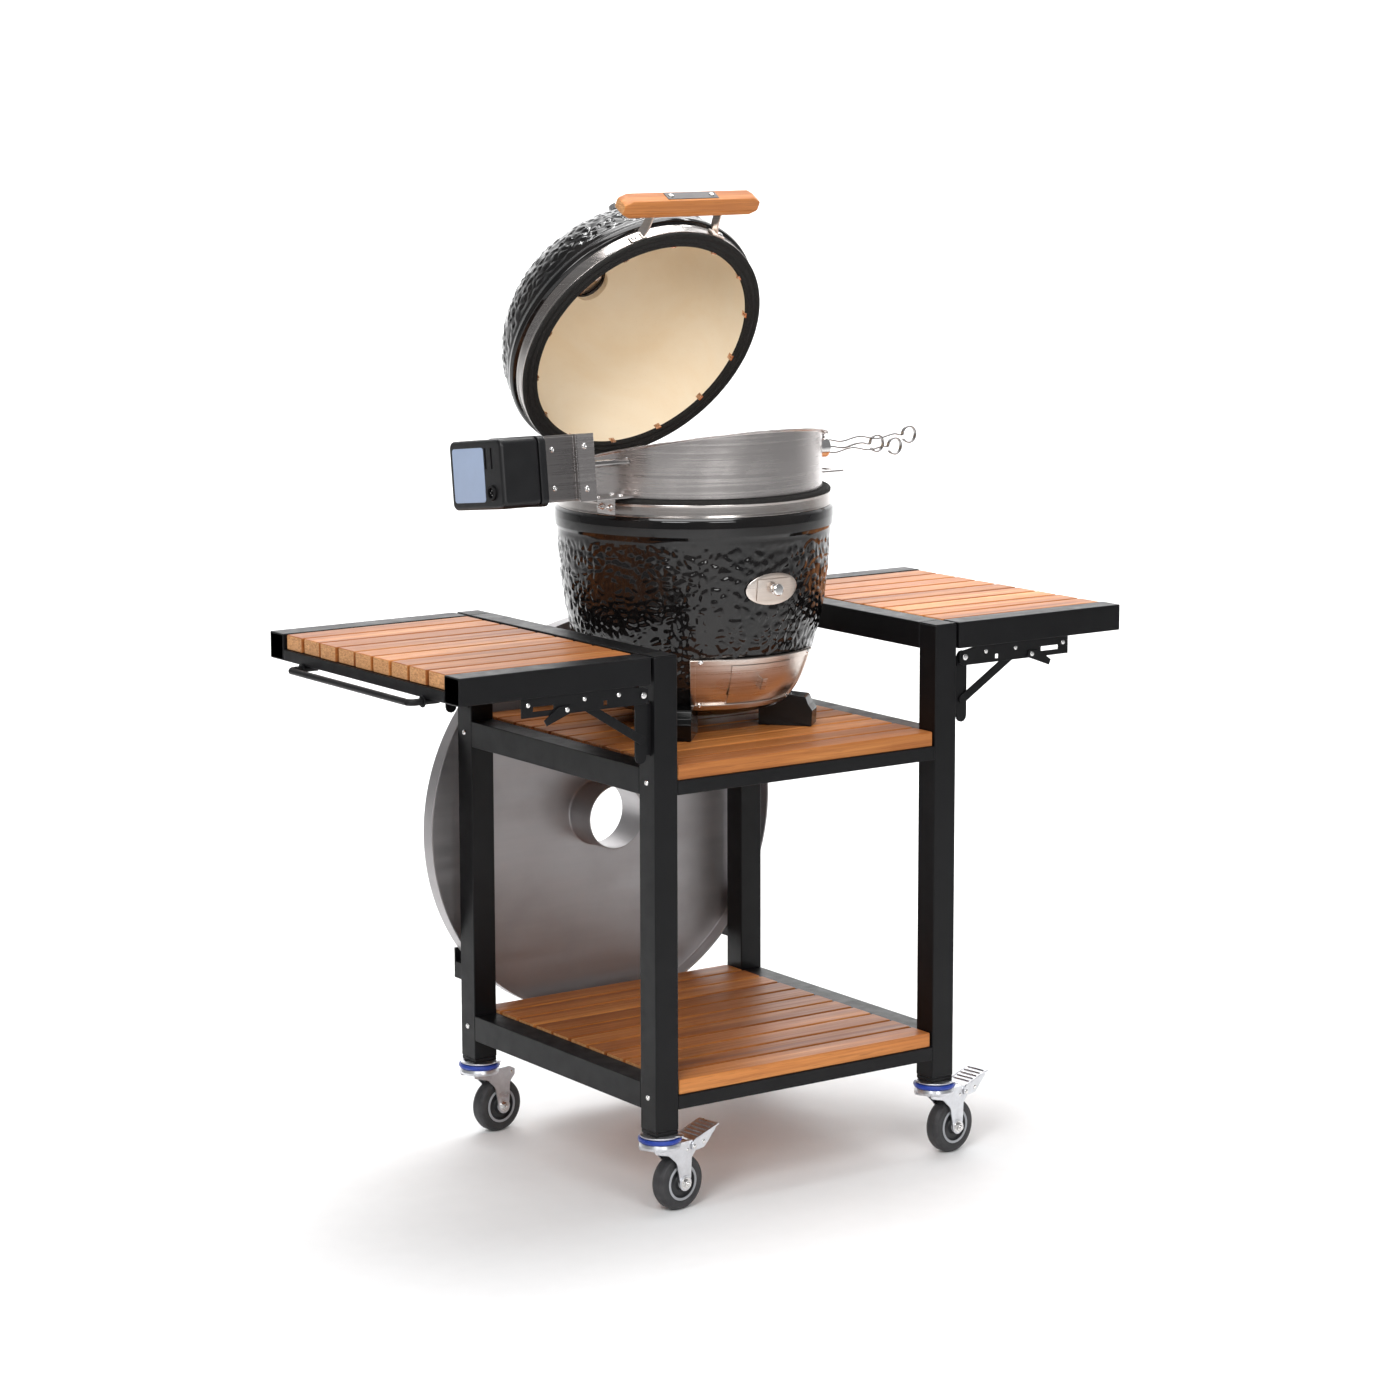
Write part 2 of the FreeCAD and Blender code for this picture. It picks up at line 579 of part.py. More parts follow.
# ---------------------------------------------------------------- lid, turned open about its hinge
def lid_place():
    """Placement of the lid's own frame: rim centre at its origin when shut, then turned open."""
    shut = at(0, size("body_y"), size("rim_z"))
    axis = FreeCAD.Vector(0, size("hinge_y"), size("hinge_z"))
    turn = FreeCAD.Placement(FreeCAD.Vector(), FreeCAD.Rotation(FreeCAD.Vector(1, 0, 0), -size("lid_open")), axis)
    return turn.multiply(shut)


def lid_node(label, thing):
    node(label, thing, lid_place().multiply(thing.Placement))


def dome(radius, height, start, steps=7, stop=0.9):
    """Points of a quarter ellipse that starts at a height above the rim."""
    points = []
    for i in range(steps + 1):
        angle = math.pi / 2 * stop * i / steps
        points.append((radius * math.cos(angle), start + (height - start) * math.sin(angle)))
    return points


def lid_pieces():
    gasket, band, mouth = size("gasket_tall"), size("band_r") - 1.2, size("mouth_r")
    neck = gasket + size("band_tall")
    outside = dome(size("bulge_r") - 2, size("lid_tall"), neck + 18)
    inside = dome(mouth, size("lid_tall") - size("shell_thick"), neck + 10)
    edges = [spline(outside).toShape(), spline(inside).toShape(), line(outside[-1], inside[-1]),
             bulge_arc((band, neck), (size("bulge_r") + 2.5, neck + 9), outside[0]),
             line((band, neck), (band, gasket)), line((band, gasket), (mouth, gasket)),
             line((mouth, gasket), inside[0])]
    lid_node("lid_shell", from_shape(revolve(edges)))
    band_ring = cut(rod(0, 0, "gasket_tall", "band_r", "band_tall"),
                    rod(0, 0, "gasket_tall-1", "band_r-1.2", "band_tall+2"))
    lid_node("lid_band", band_ring)
    lid_node("lid_gasket", cut(rod(0, 0, 0, "band_r", "gasket_tall"), rod(0, 0, -1, "mouth_r+2", "gasket_tall+2")))

    top_r, top_z = outside[-1]
    base = turned([(0, top_z - 4), (top_r - 1.2, top_z - 4), (top_r - 0.5, top_z + 0.4), (top_r + 3, top_z + 0.4),
                   (top_r + 3, "lid_tall+4"), (0, "lid_tall+4")])
    cap = turned([(0, "lid_tall+4.3"), (top_r + 2, "lid_tall+4.3"), (top_r + 1, "lid_tall+8"),
                  (12, "lid_tall+10"), (10, "lid_tall+20"), (0, "lid_tall+21")])
    for angle in (0, 90, 180, 270):
        x, y = 22 * math.cos(math.radians(angle)), 22 * math.sin(math.radians(angle))
        base = cut(base, rod(x, y, top_z - 6, 7, 20))
        cap = cut(cap, rod(x, y, "lid_tall", 7, 16))
    lid_node("vent_base", base)
    lid_node("vent_cap", cap)

    filled = revolve([spline(outside).toShape(), line(outside[-1], (0, outside[-1][1])),
                      line((0, outside[-1][1]), (0, outside[0][1])), line((0, outside[0][1]), outside[0])])
    neck = turned([(0, -8), (10, -8), (10, 7), (0, 7)])
    dial = turned([(0, 7), (13, 7), (14.5, 9), (14.5, 17), (13, 19), (0, 19)])
    for part in (neck, dial):
        part.Placement = at(0, -136, 158.8, FreeCAD.Rotation(FreeCAD.Vector(1, 0, 0), 31.8))
    lid_node("thermometer", group(cut(neck, from_shape(filled)), dial))
    handle_pieces()


def handle_pieces():
    end = 12
    section = [("-grip_l/2", "-grip_deep/2+5"), ("-grip_l/2+%d" % end, "-grip_deep/2"),
               ("grip_l/2-%d" % end, "-grip_deep/2"), ("grip_l/2", "-grip_deep/2+5"),
               ("grip_l/2", "grip_deep/2-5"), ("grip_l/2-%d" % end, "grip_deep/2"),
               ("-grip_l/2+%d" % end, "grip_deep/2"), ("-grip_l/2", "grip_deep/2-5")]
    grip = plate("XY_Plane", section, "grip_tall")
    grip.Placement = at(0, -size("grip_out"), size("grip_up"))
    lid_node("handle_grip", grip)
    inlay = block(-46, "-grip_out-grip_deep/2-1.2", "grip_up-8", 92, 1.2, 16)
    arms = []
    for side in (-1, 1):
        x = 62 * side
        arm = block(x - 1.5, "-grip_out+grip_deep/2", "grip_up-8", 3, "grip_out-grip_deep/2-199", 16)
        reach = math.sqrt(size("band_r") ** 2 - 72 ** 2)
        flap = doc.addObject("Part::Box", "Flap")
        bind(flap, Length=24, Width=2.5, Height=16)
        turn = FreeCAD.Rotation(UP, side * math.degrees(math.asin(72 / size("band_r"))))
        corner = FreeCAD.Vector(72 * side, -reach, size("grip_up") - 8)
        flap.Placement = FreeCAD.Placement(corner + turn.multVec(FreeCAD.Vector(-12, -2.7, 0)), turn)
        arms.append(cut(fuse(arm, flap), rod(0, 0, 0, "band_r+0.05", 30)))
    lid_node("handle_brackets", group(inlay, *arms))


def hinge_pieces():
    """Ears with a fixed pin on the bowl's band, and the lid's two arms that turn on the pin."""
    ears = [block(x, "body_y+band_r+1", "hinge_z-22", 5, "hinge_y-body_y-band_r+7", 30) for x in (-52, 47)]
    back = block(-52, "body_y+band_r+0.2", "hinge_z-7", 104, 3, 18)
    pin = rod(-56, "hinge_y", "hinge_z", 5, 112, "x")
    springs = [cut(rod(x, "hinge_y", "hinge_z", 9.5, 28, "x"), rod(x, "hinge_y", "hinge_z", 6, 28, "x"))
               for x in (-33, 5)]
    node("hinge_base", group(fuse(*ears, back, pin), *springs))
    rise = "hinge_z-rim_z"
    arms = []
    for x in (-42, 37):
        arm = fuse(block(x, "band_r-1", 2, 5, "hinge_y-body_y-band_r+10", 23),
                   block(x, "band_r+8.5", "%s-9" % rise, 5, "hinge_y-body_y-band_r+0.5", 52))
        hole = rod("%d-2" % x, "hinge_y-body_y", rise, 5.05, 9, "x")
        arms.append(cut(arm, hole))
    tie = block(-42, "band_r+0.2", "%s+26" % rise, 84, 3, 17)
    lid_node("hinge_lid_arms", fuse(*arms, tie))


# ---------------------------------------------------------------- rotisserie
def leaning(thing, y_alias, z_alias, angle):
    """A piece tipped back about an axis along X."""
    tipped = group(thing)
    tipped.Placement = turned_about(tipped, 0, size(y_alias), size(z_alias), (1, 0, 0), -size(angle))
    return tipped


def common(a, b):
    thing = doc.addObject("Part::Common", "Common")
    thing.Base = a
    thing.Tool = b
    return thing


def rotisserie_ring():
    """A wedge ring: upright wall, flat rim in the plane where the lid closes, foot flange and skirt."""
    above = block(-300, -300, "rim_z-0.4", 600, 700, 300)
    slab = block(-300, -300, "rim_z-0.4-sheet", 600, 700, "sheet")
    above, slab = [leaning(part, "hinge_y", "hinge_z", "ring_slope") for part in (above, slab)]
    wall = cut(rod(0, "body_y", "rim_z", "ring_r", 200), rod(0, "body_y", "rim_z-1", "ring_r-sheet", 202))
    wall = cut(wall, above)
    brim = common(cut(rod(0, "body_y", "rim_z", "ring_r+flange", 200),
                      rod(0, "body_y", "rim_z-1", "ring_r-sheet/2", 202)), slab)
    foot = cut(rod(0, "body_y", "rim_z+0.1", "ring_r", "sheet"), rod(0, "body_y", "rim_z-1", "mouth_r-7", 8))
    skirt = cut(rod(0, "body_y", "rim_z-24", "mouth_r-5", 25), rod(0, "body_y", "rim_z-25", "mouth_r-7", 27))
    tab = cut(block("ring_r-4", "body_y-26", "rim_z+6", 80, 52, 3),
              block("ring_r+26", "body_y-14", "rim_z+4", 36, 28, 8))
    holder = [block("holder_x", "spit_y-43", "spit_z-52", 3, 86, 98),
              block("holder_x-28", "spit_y-43", "spit_z-52", 28, 3, 98),
              block("holder_x-28", "spit_y+40", "spit_z-52", 28, 3, 98)]
    holder = [leaning(part, "spit_y", "spit_z", "motor_lean") for part in holder]
    strap = block("holder_x", "spit_y-22", "rim_z+3", "-holder_x-ring_r+22", 44, 3)
    drop = block("holder_x+48", "spit_y-22", "rim_z-20", 3, 44, 25)
    ring = fuse(wall, brim, foot, skirt, tab, strap, drop, *holder)
    holes = fuse(rod("holder_x-20", "spit_y", "spit_z", "drive_r+0.8", 160, "x"),
                 rod(0, "spit_y", "spit_z", "hub_disc+0.4", "ring_r+20", "x"))
    node("rotisserie_ring", cut(ring, holes))


def spit_parts():
    """What the motor turns: drive tube, two hubs, the shaft between them and three flat skewers."""
    start = "case_x+case_deep-28"
    tube = cut(rod(start, "spit_y", "spit_z", "drive_r", "-(%s)-148" % start, "x"),
               rod("-190", "spit_y", "spit_z", 3, 60, "x"))
    tube = cut(tube, rod("-205", "spit_y", "spit_z-10", 1.8, 20))
    hubs = []
    for x, radius in ((-146, "hub_disc"), (166, "hub_disc")):
        disc = rod(x, "spit_y", "spit_z", radius, 22, "x")
        hubs.append(disc)
    skewers, slots = [], []
    for i, (angle, end) in enumerate(((60, 342), (180, 268), (300, 314))):
        y = size("spit_y") + 9.5 * math.cos(math.radians(angle))
        z = size("spit_z") + 9.5 * math.sin(math.radians(angle))
        blade = block(-144, y - size("skewer_w") / 2, z - size("skewer_t") / 2, 144 + end, "skewer_w", "skewer_t")
        slots.append(block(-200, y - size("skewer_w") / 2 - 0.1, z - size("skewer_t") / 2 - 0.1, 500,
                           "skewer_w+0.2", "skewer_t+0.2"))
        loop = cut(rod(end + size("loop_r") - 2, y - size("skewer_w") / 2, z, "loop_r", "skewer_w", "y"),
                   rod(end + size("loop_r") - 2, y - size("skewer_w") / 2 - 1, z, "loop_r-skewer_t",
                       "skewer_w+2", "y"))
        skewers.append(fuse(blade, loop))
    shaft = rod("-150", "spit_y", "spit_z", 3, 330, "x")
    slots_tool = fuse(*slots)
    bore = rod("-160", "spit_y", "spit_z", 3.05, 400, "x")
    node("spit_drive", group(tube, shaft, *[cut(cut(hub, slots_tool), bore) for hub in hubs]))
    node("skewers", group(*skewers))


def about_spit(thing):
    return turned_about(thing, 0, size("spit_y"), size("spit_z"), (1, 0, 0), -size("motor_lean"))


def motor_parts():
    """The motor's case hangs on the ring's holder by a folded bracket."""
    low_y, low_z = "spit_y-case_wide/2", "spit_z-case_tall/2-3"
    shell = cut(block("case_x", low_y, low_z, "case_deep-12", "case_wide", "case_tall"),
                block("case_x+3", low_y + "+3", low_z + "+3", "case_deep", "case_wide-6", "case_tall-6"))
    for y in (-99, -83):
        shell = cut(shell, block("case_x-1", "spit_y%+d" % (y + 55 - 2), "spit_z+5", 8, 4, 30))
    shell = cut(shell, rod("case_x-1", "spit_y-41", "spit_z-29", 11.5, 8, "x"))
    label = block("case_x-0.8", "spit_y-23", "spit_z-42", 0.8, 84, 78)
    case = group(shell, label)
    node("motor_case", case, about_spit(case))
    cover = cut(block("case_x+case_deep-12", low_y + "-1", low_z + "-1", 12, "case_wide+2", "case_tall+2"),
                rod("case_x+case_deep-14", "spit_y", "spit_z", "drive_r+0.8", 20, "x"))
    cover = cut(cover, block("case_x+case_deep-13", low_y + "+3", low_z + "+3", 9, "case_wide-6", "case_tall-6"))
    node("motor_cover", cover, about_spit(cover))
    inlet = rod("case_x-3", "spit_y-41", "spit_z-29", 11.4, 18, "x")
    inlet = cut(inlet, rod("case_x-4", "spit_y-41", "spit_z-29", 7.5, 12, "x"))
    node("power_inlet", inlet, about_spit(inlet))
    motor = rod("case_x+8", "spit_y+35", "spit_z-10", 24, 34, "x")
    gearbox = block("case_x+42", "spit_y-32", "spit_z-36", 19, 96, 62)
    core = cut(fuse(motor, gearbox), rod("case_x+46", "spit_y", "spit_z", "drive_r+0.05", 20, "x"))
    node("gearmotor", core, about_spit(core))
    rear = "case_x+case_deep"
    walls = [block(rear, "spit_y-40", "spit_z-48", 3, 80, 92),
             block(rear, "spit_y-40", "spit_z-48", "-(%s)+holder_x-28" % rear, 3, 92),
             block(rear, "spit_y+37", "spit_z-48", "-(%s)+holder_x-28" % rear, 3, 92),
             block("holder_x-31", "spit_y-46", "spit_z-50", 3, 92, 96)]
    bracket = cut(fuse(*walls), rod("case_x+60", "spit_y", "spit_z", "drive_r+0.8", 200, "x"))
    node("motor_bracket", bracket, about_spit(bracket))


# ---------------------------------------------------------------- fire plate
def fire_plate():
    deep, thick, disc, collar = "disc_deep", "disc_thick", "disc_r", "collar_r"
    rim_in, collar_in = "%s-%s" % (disc, thick), "%s-2" % collar
    body = turned([(collar_in, 0), (disc, 0), (disc, deep), (rim_in, deep), (rim_in, thick), (collar, thick),
                   (collar, "collar_l"), (collar_in, "collar_l")])
    body.Placement = at(0, size("disc_front") + size("disc_deep"), size("disc_z"),
                        FreeCAD.Rotation(FreeCAD.Vector(1, 0, 0), 90))
    node("fire_plate", body)
    hooks = []
    for side in (-1, 1):
        x = side * (size("cart_w") - size("tube")) / 2
        seat = size("disc_z") - math.sqrt(size("disc_r") ** 2 - (abs(x) - 10) ** 2) - 0.3
        profile = [(size("cart_d") / 2, seat - 26), (size("disc_front") + size("disc_deep") + 5, seat - 26),
                   (size("disc_front") + size("disc_deep") + 5, seat + 22),
                   (size("disc_front") + size("disc_deep") + 1.5, seat + 22),
                   (size("disc_front") + size("disc_deep") + 1.5, seat), (size("cart_d") / 2, seat)]
        hook = plate("YZ_Plane", profile, 20)
        hook.Placement = at(x, 0, 0)
        hooks.append(hook)
    node("plate_hooks", group(*hooks))


for builder in (cart_frame, cart_shelves):
    builder()
bracket_leaves = []
for name, side in SIDES.items():
    bracket_leaves += folding_shelf(name, side)
node("bracket_leaves", group(*bracket_leaves))
for builder in (towel_rail, castors, base_body, body_feet, fire_pieces, draft_door, feeder_port, lid_pieces,
                hinge_pieces, rotisserie_ring, spit_parts, motor_parts, fire_plate):
    builder()
doc.recompute()

# ---------------------------------------------------------------- checks and export
for thing in doc.Objects:
    assert not {"Invalid", "Error"} & set(thing.State), "%s %s" % (thing.Name, thing.Label)
whole = FreeCAD.BoundBox()
for thing in nodes:
    assert not thing.Shape.isNull() and thing.Shape.isValid(), thing.Label
    whole.add(thing.Shape.BoundBox)
os.makedirs("parts", exist_ok=True)
for thing in nodes:
    thing.Shape.exportStep("parts/%s.step" % thing.Label)
print("nodes", len(nodes), "box", whole)
for thing in nodes:
    print(thing.Label, len(thing.Shape.Solids), round(thing.Shape.Volume / 1000, 1), thing.Shape.BoundBox)
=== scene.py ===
import math
import random

import bmesh
import bpy
import numpy as np
from mathutils import Matrix, Vector, noise


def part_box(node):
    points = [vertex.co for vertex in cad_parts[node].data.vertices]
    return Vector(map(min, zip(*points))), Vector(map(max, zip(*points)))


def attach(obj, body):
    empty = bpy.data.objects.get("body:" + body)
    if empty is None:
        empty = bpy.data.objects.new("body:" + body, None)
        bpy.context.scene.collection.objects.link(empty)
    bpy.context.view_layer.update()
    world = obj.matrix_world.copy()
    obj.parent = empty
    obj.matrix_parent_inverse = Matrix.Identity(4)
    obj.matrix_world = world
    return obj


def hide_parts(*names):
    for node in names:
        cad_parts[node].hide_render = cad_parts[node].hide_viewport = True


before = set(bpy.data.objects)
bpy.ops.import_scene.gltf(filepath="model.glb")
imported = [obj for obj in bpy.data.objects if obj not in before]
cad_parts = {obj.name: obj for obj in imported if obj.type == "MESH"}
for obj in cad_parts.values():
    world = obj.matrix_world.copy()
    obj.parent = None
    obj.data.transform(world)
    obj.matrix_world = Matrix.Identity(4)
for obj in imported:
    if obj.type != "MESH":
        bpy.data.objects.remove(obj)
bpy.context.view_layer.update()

random.seed(4)

# ---------------------------------------------------------------- places, in millimetres from the cart's centre
legs_low, legs_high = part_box("cart_legs")
CENTRE = Vector(((legs_low.x + legs_high.x) / 2, (legs_low.y + legs_high.y) / 2, 0))
TO_ROW = Matrix.Translation(CENTRE) @ Matrix.Scale(0.001, 4)
CART_W, CART_D, TUBE = 550, 538, 40
RIM_Z, BODY_Y = 1026, 25
HINGE = Vector((0, 270, 1008))
SPIT = Vector((0, -55, 1080))
OPEN, SLOPE, MOTOR_LEAN = math.radians(58.5), math.radians(12.6), math.radians(6.5)
SWING = math.radians(8)


def shift(x, y, z):
    return Matrix.Translation((x, y, z))


def turn(degrees, axis):
    return Matrix.Rotation(math.radians(degrees), 4, axis)


BODY = shift(0, BODY_Y, 0)
LID = shift(*HINGE) @ Matrix.Rotation(-OPEN, 4, "X") @ shift(0, BODY_Y - HINGE.y, RIM_Z - HINGE.z)
LEAN = shift(*SPIT) @ Matrix.Rotation(-MOTOR_LEAN, 4, "X") @ shift(*-SPIT)
ALONG_X = turn(90, "Y")
SPOTS = {"front_left": (-255, -249), "front_right": (255, -249), "rear_left": (-255, 249), "rear_right": (255, 249)}


# ---------------------------------------------------------------- materials
class Finish:
    """A Principled material with a few shorthands for its procedural nodes."""

    def __init__(self, name, **sockets):
        self.material = bpy.data.materials.new(name)
        self.material.use_nodes = True
        self.tree = self.material.node_tree
        self.shader = self.tree.nodes["Principled BSDF"]
        for socket, value in sockets.items():
            self.shader.inputs[socket.replace("_", " ")].default_value = value

    def node(self, kind, **settings):
        made = self.tree.nodes.new(kind)
        for key, value in settings.items():
            setattr(made, key, value)
        return made

    def link(self, source, target):
        self.tree.links.new(source, target)

    def coords(self, scale=(1, 1, 1)):
        place = self.node("ShaderNodeTexCoord")
        mapping = self.node("ShaderNodeMapping")
        mapping.inputs["Scale"].default_value = scale
        self.link(place.outputs["Object"], mapping.inputs["Vector"])
        return mapping.outputs["Vector"]

    def noise(self, vector, scale, detail=4.0, rough=0.55, warp=0.0):
        made = self.node("ShaderNodeTexNoise")
        made.inputs["Scale"].default_value = scale
        made.inputs["Detail"].default_value = detail
        made.inputs["Roughness"].default_value = rough
        made.inputs["Distortion"].default_value = warp
        self.link(vector, made.inputs["Vector"])
        return made.outputs["Fac"]

    def ramp(self, factor, stops):
        made = self.node("ShaderNodeValToRGB")
        ramp = made.color_ramp
        while len(ramp.elements) < len(stops):
            ramp.elements.new(0.5)
        for element, (spot, colour) in zip(ramp.elements, stops):
            element.position = spot
            element.color = (*colour, 1) if len(colour) == 3 else colour
        self.link(factor, made.inputs["Fac"])
        return made.outputs["Color"]

    def grey(self, factor, low, high, start=0.3, stop=0.7):
        made = self.node("ShaderNodeMapRange")
        made.inputs["From Min"].default_value = start
        made.inputs["From Max"].default_value = stop
        made.inputs["To Min"].default_value = low
        made.inputs["To Max"].default_value = high
        self.link(factor, made.inputs["Value"])
        return made.outputs["Result"]

    def maths(self, operation, first, second):
        made = self.node("ShaderNodeMath", operation=operation)
        for index, value in enumerate((first, second)):
            if isinstance(value, (int, float)):
                made.inputs[index].default_value = value
            else:
                self.link(value, made.inputs[index])
        return made.outputs[0]

    def mix(self, factor, first, second, blend="MIX"):
        made = self.node("ShaderNodeMix", data_type="RGBA", blend_type=blend)
        for index, value in ((0, factor), (6, first), (7, second)):
            if isinstance(value, (int, float)):
                made.inputs[index].default_value = value
            elif isinstance(value, tuple):
                made.inputs[index].default_value = (*value, 1)
            else:
                self.link(value, made.inputs[index])
        return made.outputs[2]

    def colour(self, source):
        self.link(source, self.shader.inputs["Base Color"])

    def rough(self, source):
        self.link(source, self.shader.inputs["Roughness"])

    def bump(self, height, strength, distance):
        made = self.node("ShaderNodeBump")
        made.inputs["Strength"].default_value = strength
        made.inputs["Distance"].default_value = distance
        self.link(height, made.inputs["Height"])
        self.link(made.outputs["Normal"], self.shader.inputs["Normal"])


def powder(name, tint, low, high, grain=1400, sheen_level=0.35):
    """Powder coat or textured plastic: fine orange peel and slow changes of gloss."""
    f = Finish(name, Specular_IOR_Level=sheen_level)
    v = f.coords()
    slow = f.noise(v, 9, 5)
    f.colour(f.ramp(slow, [(0.3, tuple(c * 0.75 for c in tint)), (0.7, tuple(c * 1.3 for c in tint))]))
    f.rough(f.grey(f.noise(v, 35, 4), low, high))
    f.bump(f.noise(v, grain, 2), 0.12, 0.0004)
    return f.material


def wood():
    f = Finish("oiled_wood", Specular_IOR_Level=0.35)
    tone = f.node("ShaderNodeAttribute", attribute_name="tone").outputs["Fac"]
    place = f.node("ShaderNodeTexCoord")
    jump = f.node("ShaderNodeCombineXYZ")
    for index, much in enumerate((7.0, 3.0, 5.0)):
        f.link(f.maths("MULTIPLY", tone, much), jump.inputs[index])
    moved = f.node("ShaderNodeVectorMath", operation="ADD")
    f.link(place.outputs["Object"], moved.inputs[0])
    f.link(jump.outputs[0], moved.inputs[1])

    def stretched(scale):
        mapping = f.node("ShaderNodeMapping")
        mapping.inputs["Scale"].default_value = scale
        f.link(moved.outputs[0], mapping.inputs["Vector"])
        return mapping.outputs["Vector"]

    broad = f.noise(stretched((1.6, 34, 34)), 1.0, 5, 0.55, 0.6)
    fine = f.noise(stretched((5, 330, 330)), 1.0, 4, 0.6)
    pores = f.noise(stretched((26, 900, 900)), 1.0, 2, 0.5)
    colour = f.ramp(broad, [(0.28, (0.22, 0.060, 0.013)), (0.42, (0.37, 0.120, 0.026)),
                            (0.56, (0.50, 0.182, 0.043)), (0.72, (0.65, 0.28, 0.078))])
    colour = f.mix(f.grey(fine, 0.0, 0.65, 0.42, 0.66), colour, (0.33, 0.105, 0.028))
    colour = f.mix(f.grey(pores, 0.0, 0.5, 0.6, 0.72), colour, (0.17, 0.05, 0.014))
    light = f.ramp(tone, [(0.0, (0.74, 0.70, 0.66)), (0.5, (0.98, 0.98, 0.98)), (1.0, (1.24, 1.26, 1.3))])
    colour = f.mix(1.0, colour, light, "MULTIPLY")
    normal = f.node("ShaderNodeSeparateXYZ")
    f.link(place.outputs["Normal"], normal.inputs[0])
    end = f.grey(f.maths("ABSOLUTE", normal.outputs[0], 0.0), 0.0, 1.0, 0.8, 0.95)
    rings = f.noise(stretched((40, 190, 420)), 1.0, 3, 0.6, 0.8)
    end_colour = f.ramp(rings, [(0.3, (0.42, 0.17, 0.055)), (0.7, (0.78, 0.42, 0.18))])
    f.colour(f.mix(end, colour, end_colour))
    f.rough(f.grey(fine, 0.36, 0.56))
    f.bump(fine, 0.22, 0.0006)
    return f.material


def metal(name, tint, low, high, lines=(2, 2, 700), streak=0.35, metallic=1.0, tarnish=None, relief=0.12):
    """Brushed or rolled metal: hairlines along one direction and slow patches of tone."""
    f = Finish(name, Metallic=metallic)
    hair = f.noise(f.coords(lines), 1.0, 4, 0.65)
    slow = f.noise(f.coords(), 11, 4)
    colour = f.ramp(hair, [(0.3, tuple(c * (1 - streak) for c in tint)), (0.7, tint)])
    if tarnish:
        colour = f.mix(f.grey(slow, 0.0, 0.7, 0.45, 0.75), colour, tarnish)
    f.colour(colour)
    f.rough(f.maths("ADD", f.grey(hair, low, high), f.grey(slow, -0.04, 0.05)))
    f.bump(hair, relief, 0.0003)
    return f.material


def glaze():
    f = Finish("black_glaze", Roughness=0.07, Specular_IOR_Level=0.42, Coat_Weight=0.15, Coat_Roughness=0.03)
    v = f.coords()
    slow = f.noise(v, 14, 4)
    f.colour(f.ramp(slow, [(0.35, (0.0035, 0.0033, 0.0034)), (0.7, (0.009, 0.0075, 0.007))]))
    f.rough(f.grey(f.noise(v, 60, 4), 0.05, 0.14))
    f.bump(f.noise(v, 95, 3, 0.5), 0.10, 0.0012)
    return f.material


def ceramic(name, pale, dark, speckle):
    f = Finish(name, Specular_IOR_Level=0.2)
    v = f.coords()
    slow = f.noise(v, 5, 5, 0.6, 0.5)
    colour = f.ramp(slow, [(0.3, dark), (0.62, pale)])
    specks = f.node("ShaderNodeTexVoronoi")
    specks.inputs["Scale"].default_value = 160
    f.link(v, specks.inputs["Vector"])
    f.colour(f.mix(f.grey(specks.outputs["Distance"], speckle, 0.0, 0.02, 0.16), colour,
                   tuple(c * 0.55 for c in pale)))
    f.rough(f.grey(f.noise(v, 40), 0.72, 0.9))
    f.bump(f.noise(v, 420, 4), 0.2, 0.0006)
    return f.material


def felt():
    f = Finish("gasket_felt", Specular_IOR_Level=0.2)
    v = f.coords()
    threads = f.noise(v, 900, 3, 0.7)
    f.colour(f.ramp(threads, [(0.35, (0.006, 0.006, 0.006)), (0.65, (0.035, 0.033, 0.031))]))
    f.rough(f.grey(threads, 0.7, 0.95))
    f.bump(threads, 0.7, 0.0012)
    return f.material


def rubber():
    f = Finish("tyre_rubber", Specular_IOR_Level=0.4)
    v = f.coords()
    slow = f.noise(v, 55, 5, 0.65)
    f.colour(f.ramp(slow, [(0.3, (0.022, 0.022, 0.024)), (0.7, (0.055, 0.054, 0.056))]))
    f.rough(f.grey(slow, 0.42, 0.68))
    f.bump(f.noise(v, 700, 3), 0.25, 0.0005)
    return f.material


def plain(name, tint, rough, spread=0.15, grain=300, strength=0.08, **sockets):
    f = Finish(name, **sockets)
    v = f.coords()
    slow = f.noise(v, 25, 4)
    f.colour(f.ramp(slow, [(0.3, tuple(c * (1 - spread) for c in tint)), (0.7, tuple(min(1, c * (1 + spread)) for c in tint))]))
    f.rough(f.grey(slow, rough - 0.05, rough + 0.07))
    f.bump(f.noise(v, grain, 3), strength, 0.0004)
    return f.material


BLACK = powder("black_powder_coat", (0.0040, 0.0040, 0.0046), 0.34, 0.48, 1400, 0.22)
SHELL = powder("motor_shell", (0.007, 0.007, 0.008), 0.34, 0.46, 900, 0.4)
CAP = powder("black_plug", (0.0042, 0.0042, 0.0046), 0.4, 0.5, 900, 0.25)
WOOD = wood()
GLAZE = glaze()
CREAM = ceramic("bare_ceramic", (0.95, 0.84, 0.66), (0.90, 0.74, 0.52), 0.18)
CLAY = ceramic("fire_clay", (0.62, 0.47, 0.31), (0.40, 0.29, 0.18), 0.4)
RING_STEEL = metal("brushed_ring_steel", (0.66, 0.62, 0.605), 0.2, 0.3, (3, 3, 420), 0.1, relief=0.04)
FOLDED_STEEL = metal("folded_steel", (0.32, 0.30, 0.295), 0.24, 0.34, (3, 3, 420), 0.12, relief=0.04)
BAND_STEEL = metal("band_steel", (0.56, 0.53, 0.51), 0.16, 0.26, (3, 3, 420), 0.12, tarnish=(0.38, 0.32, 0.29), relief=0.04)
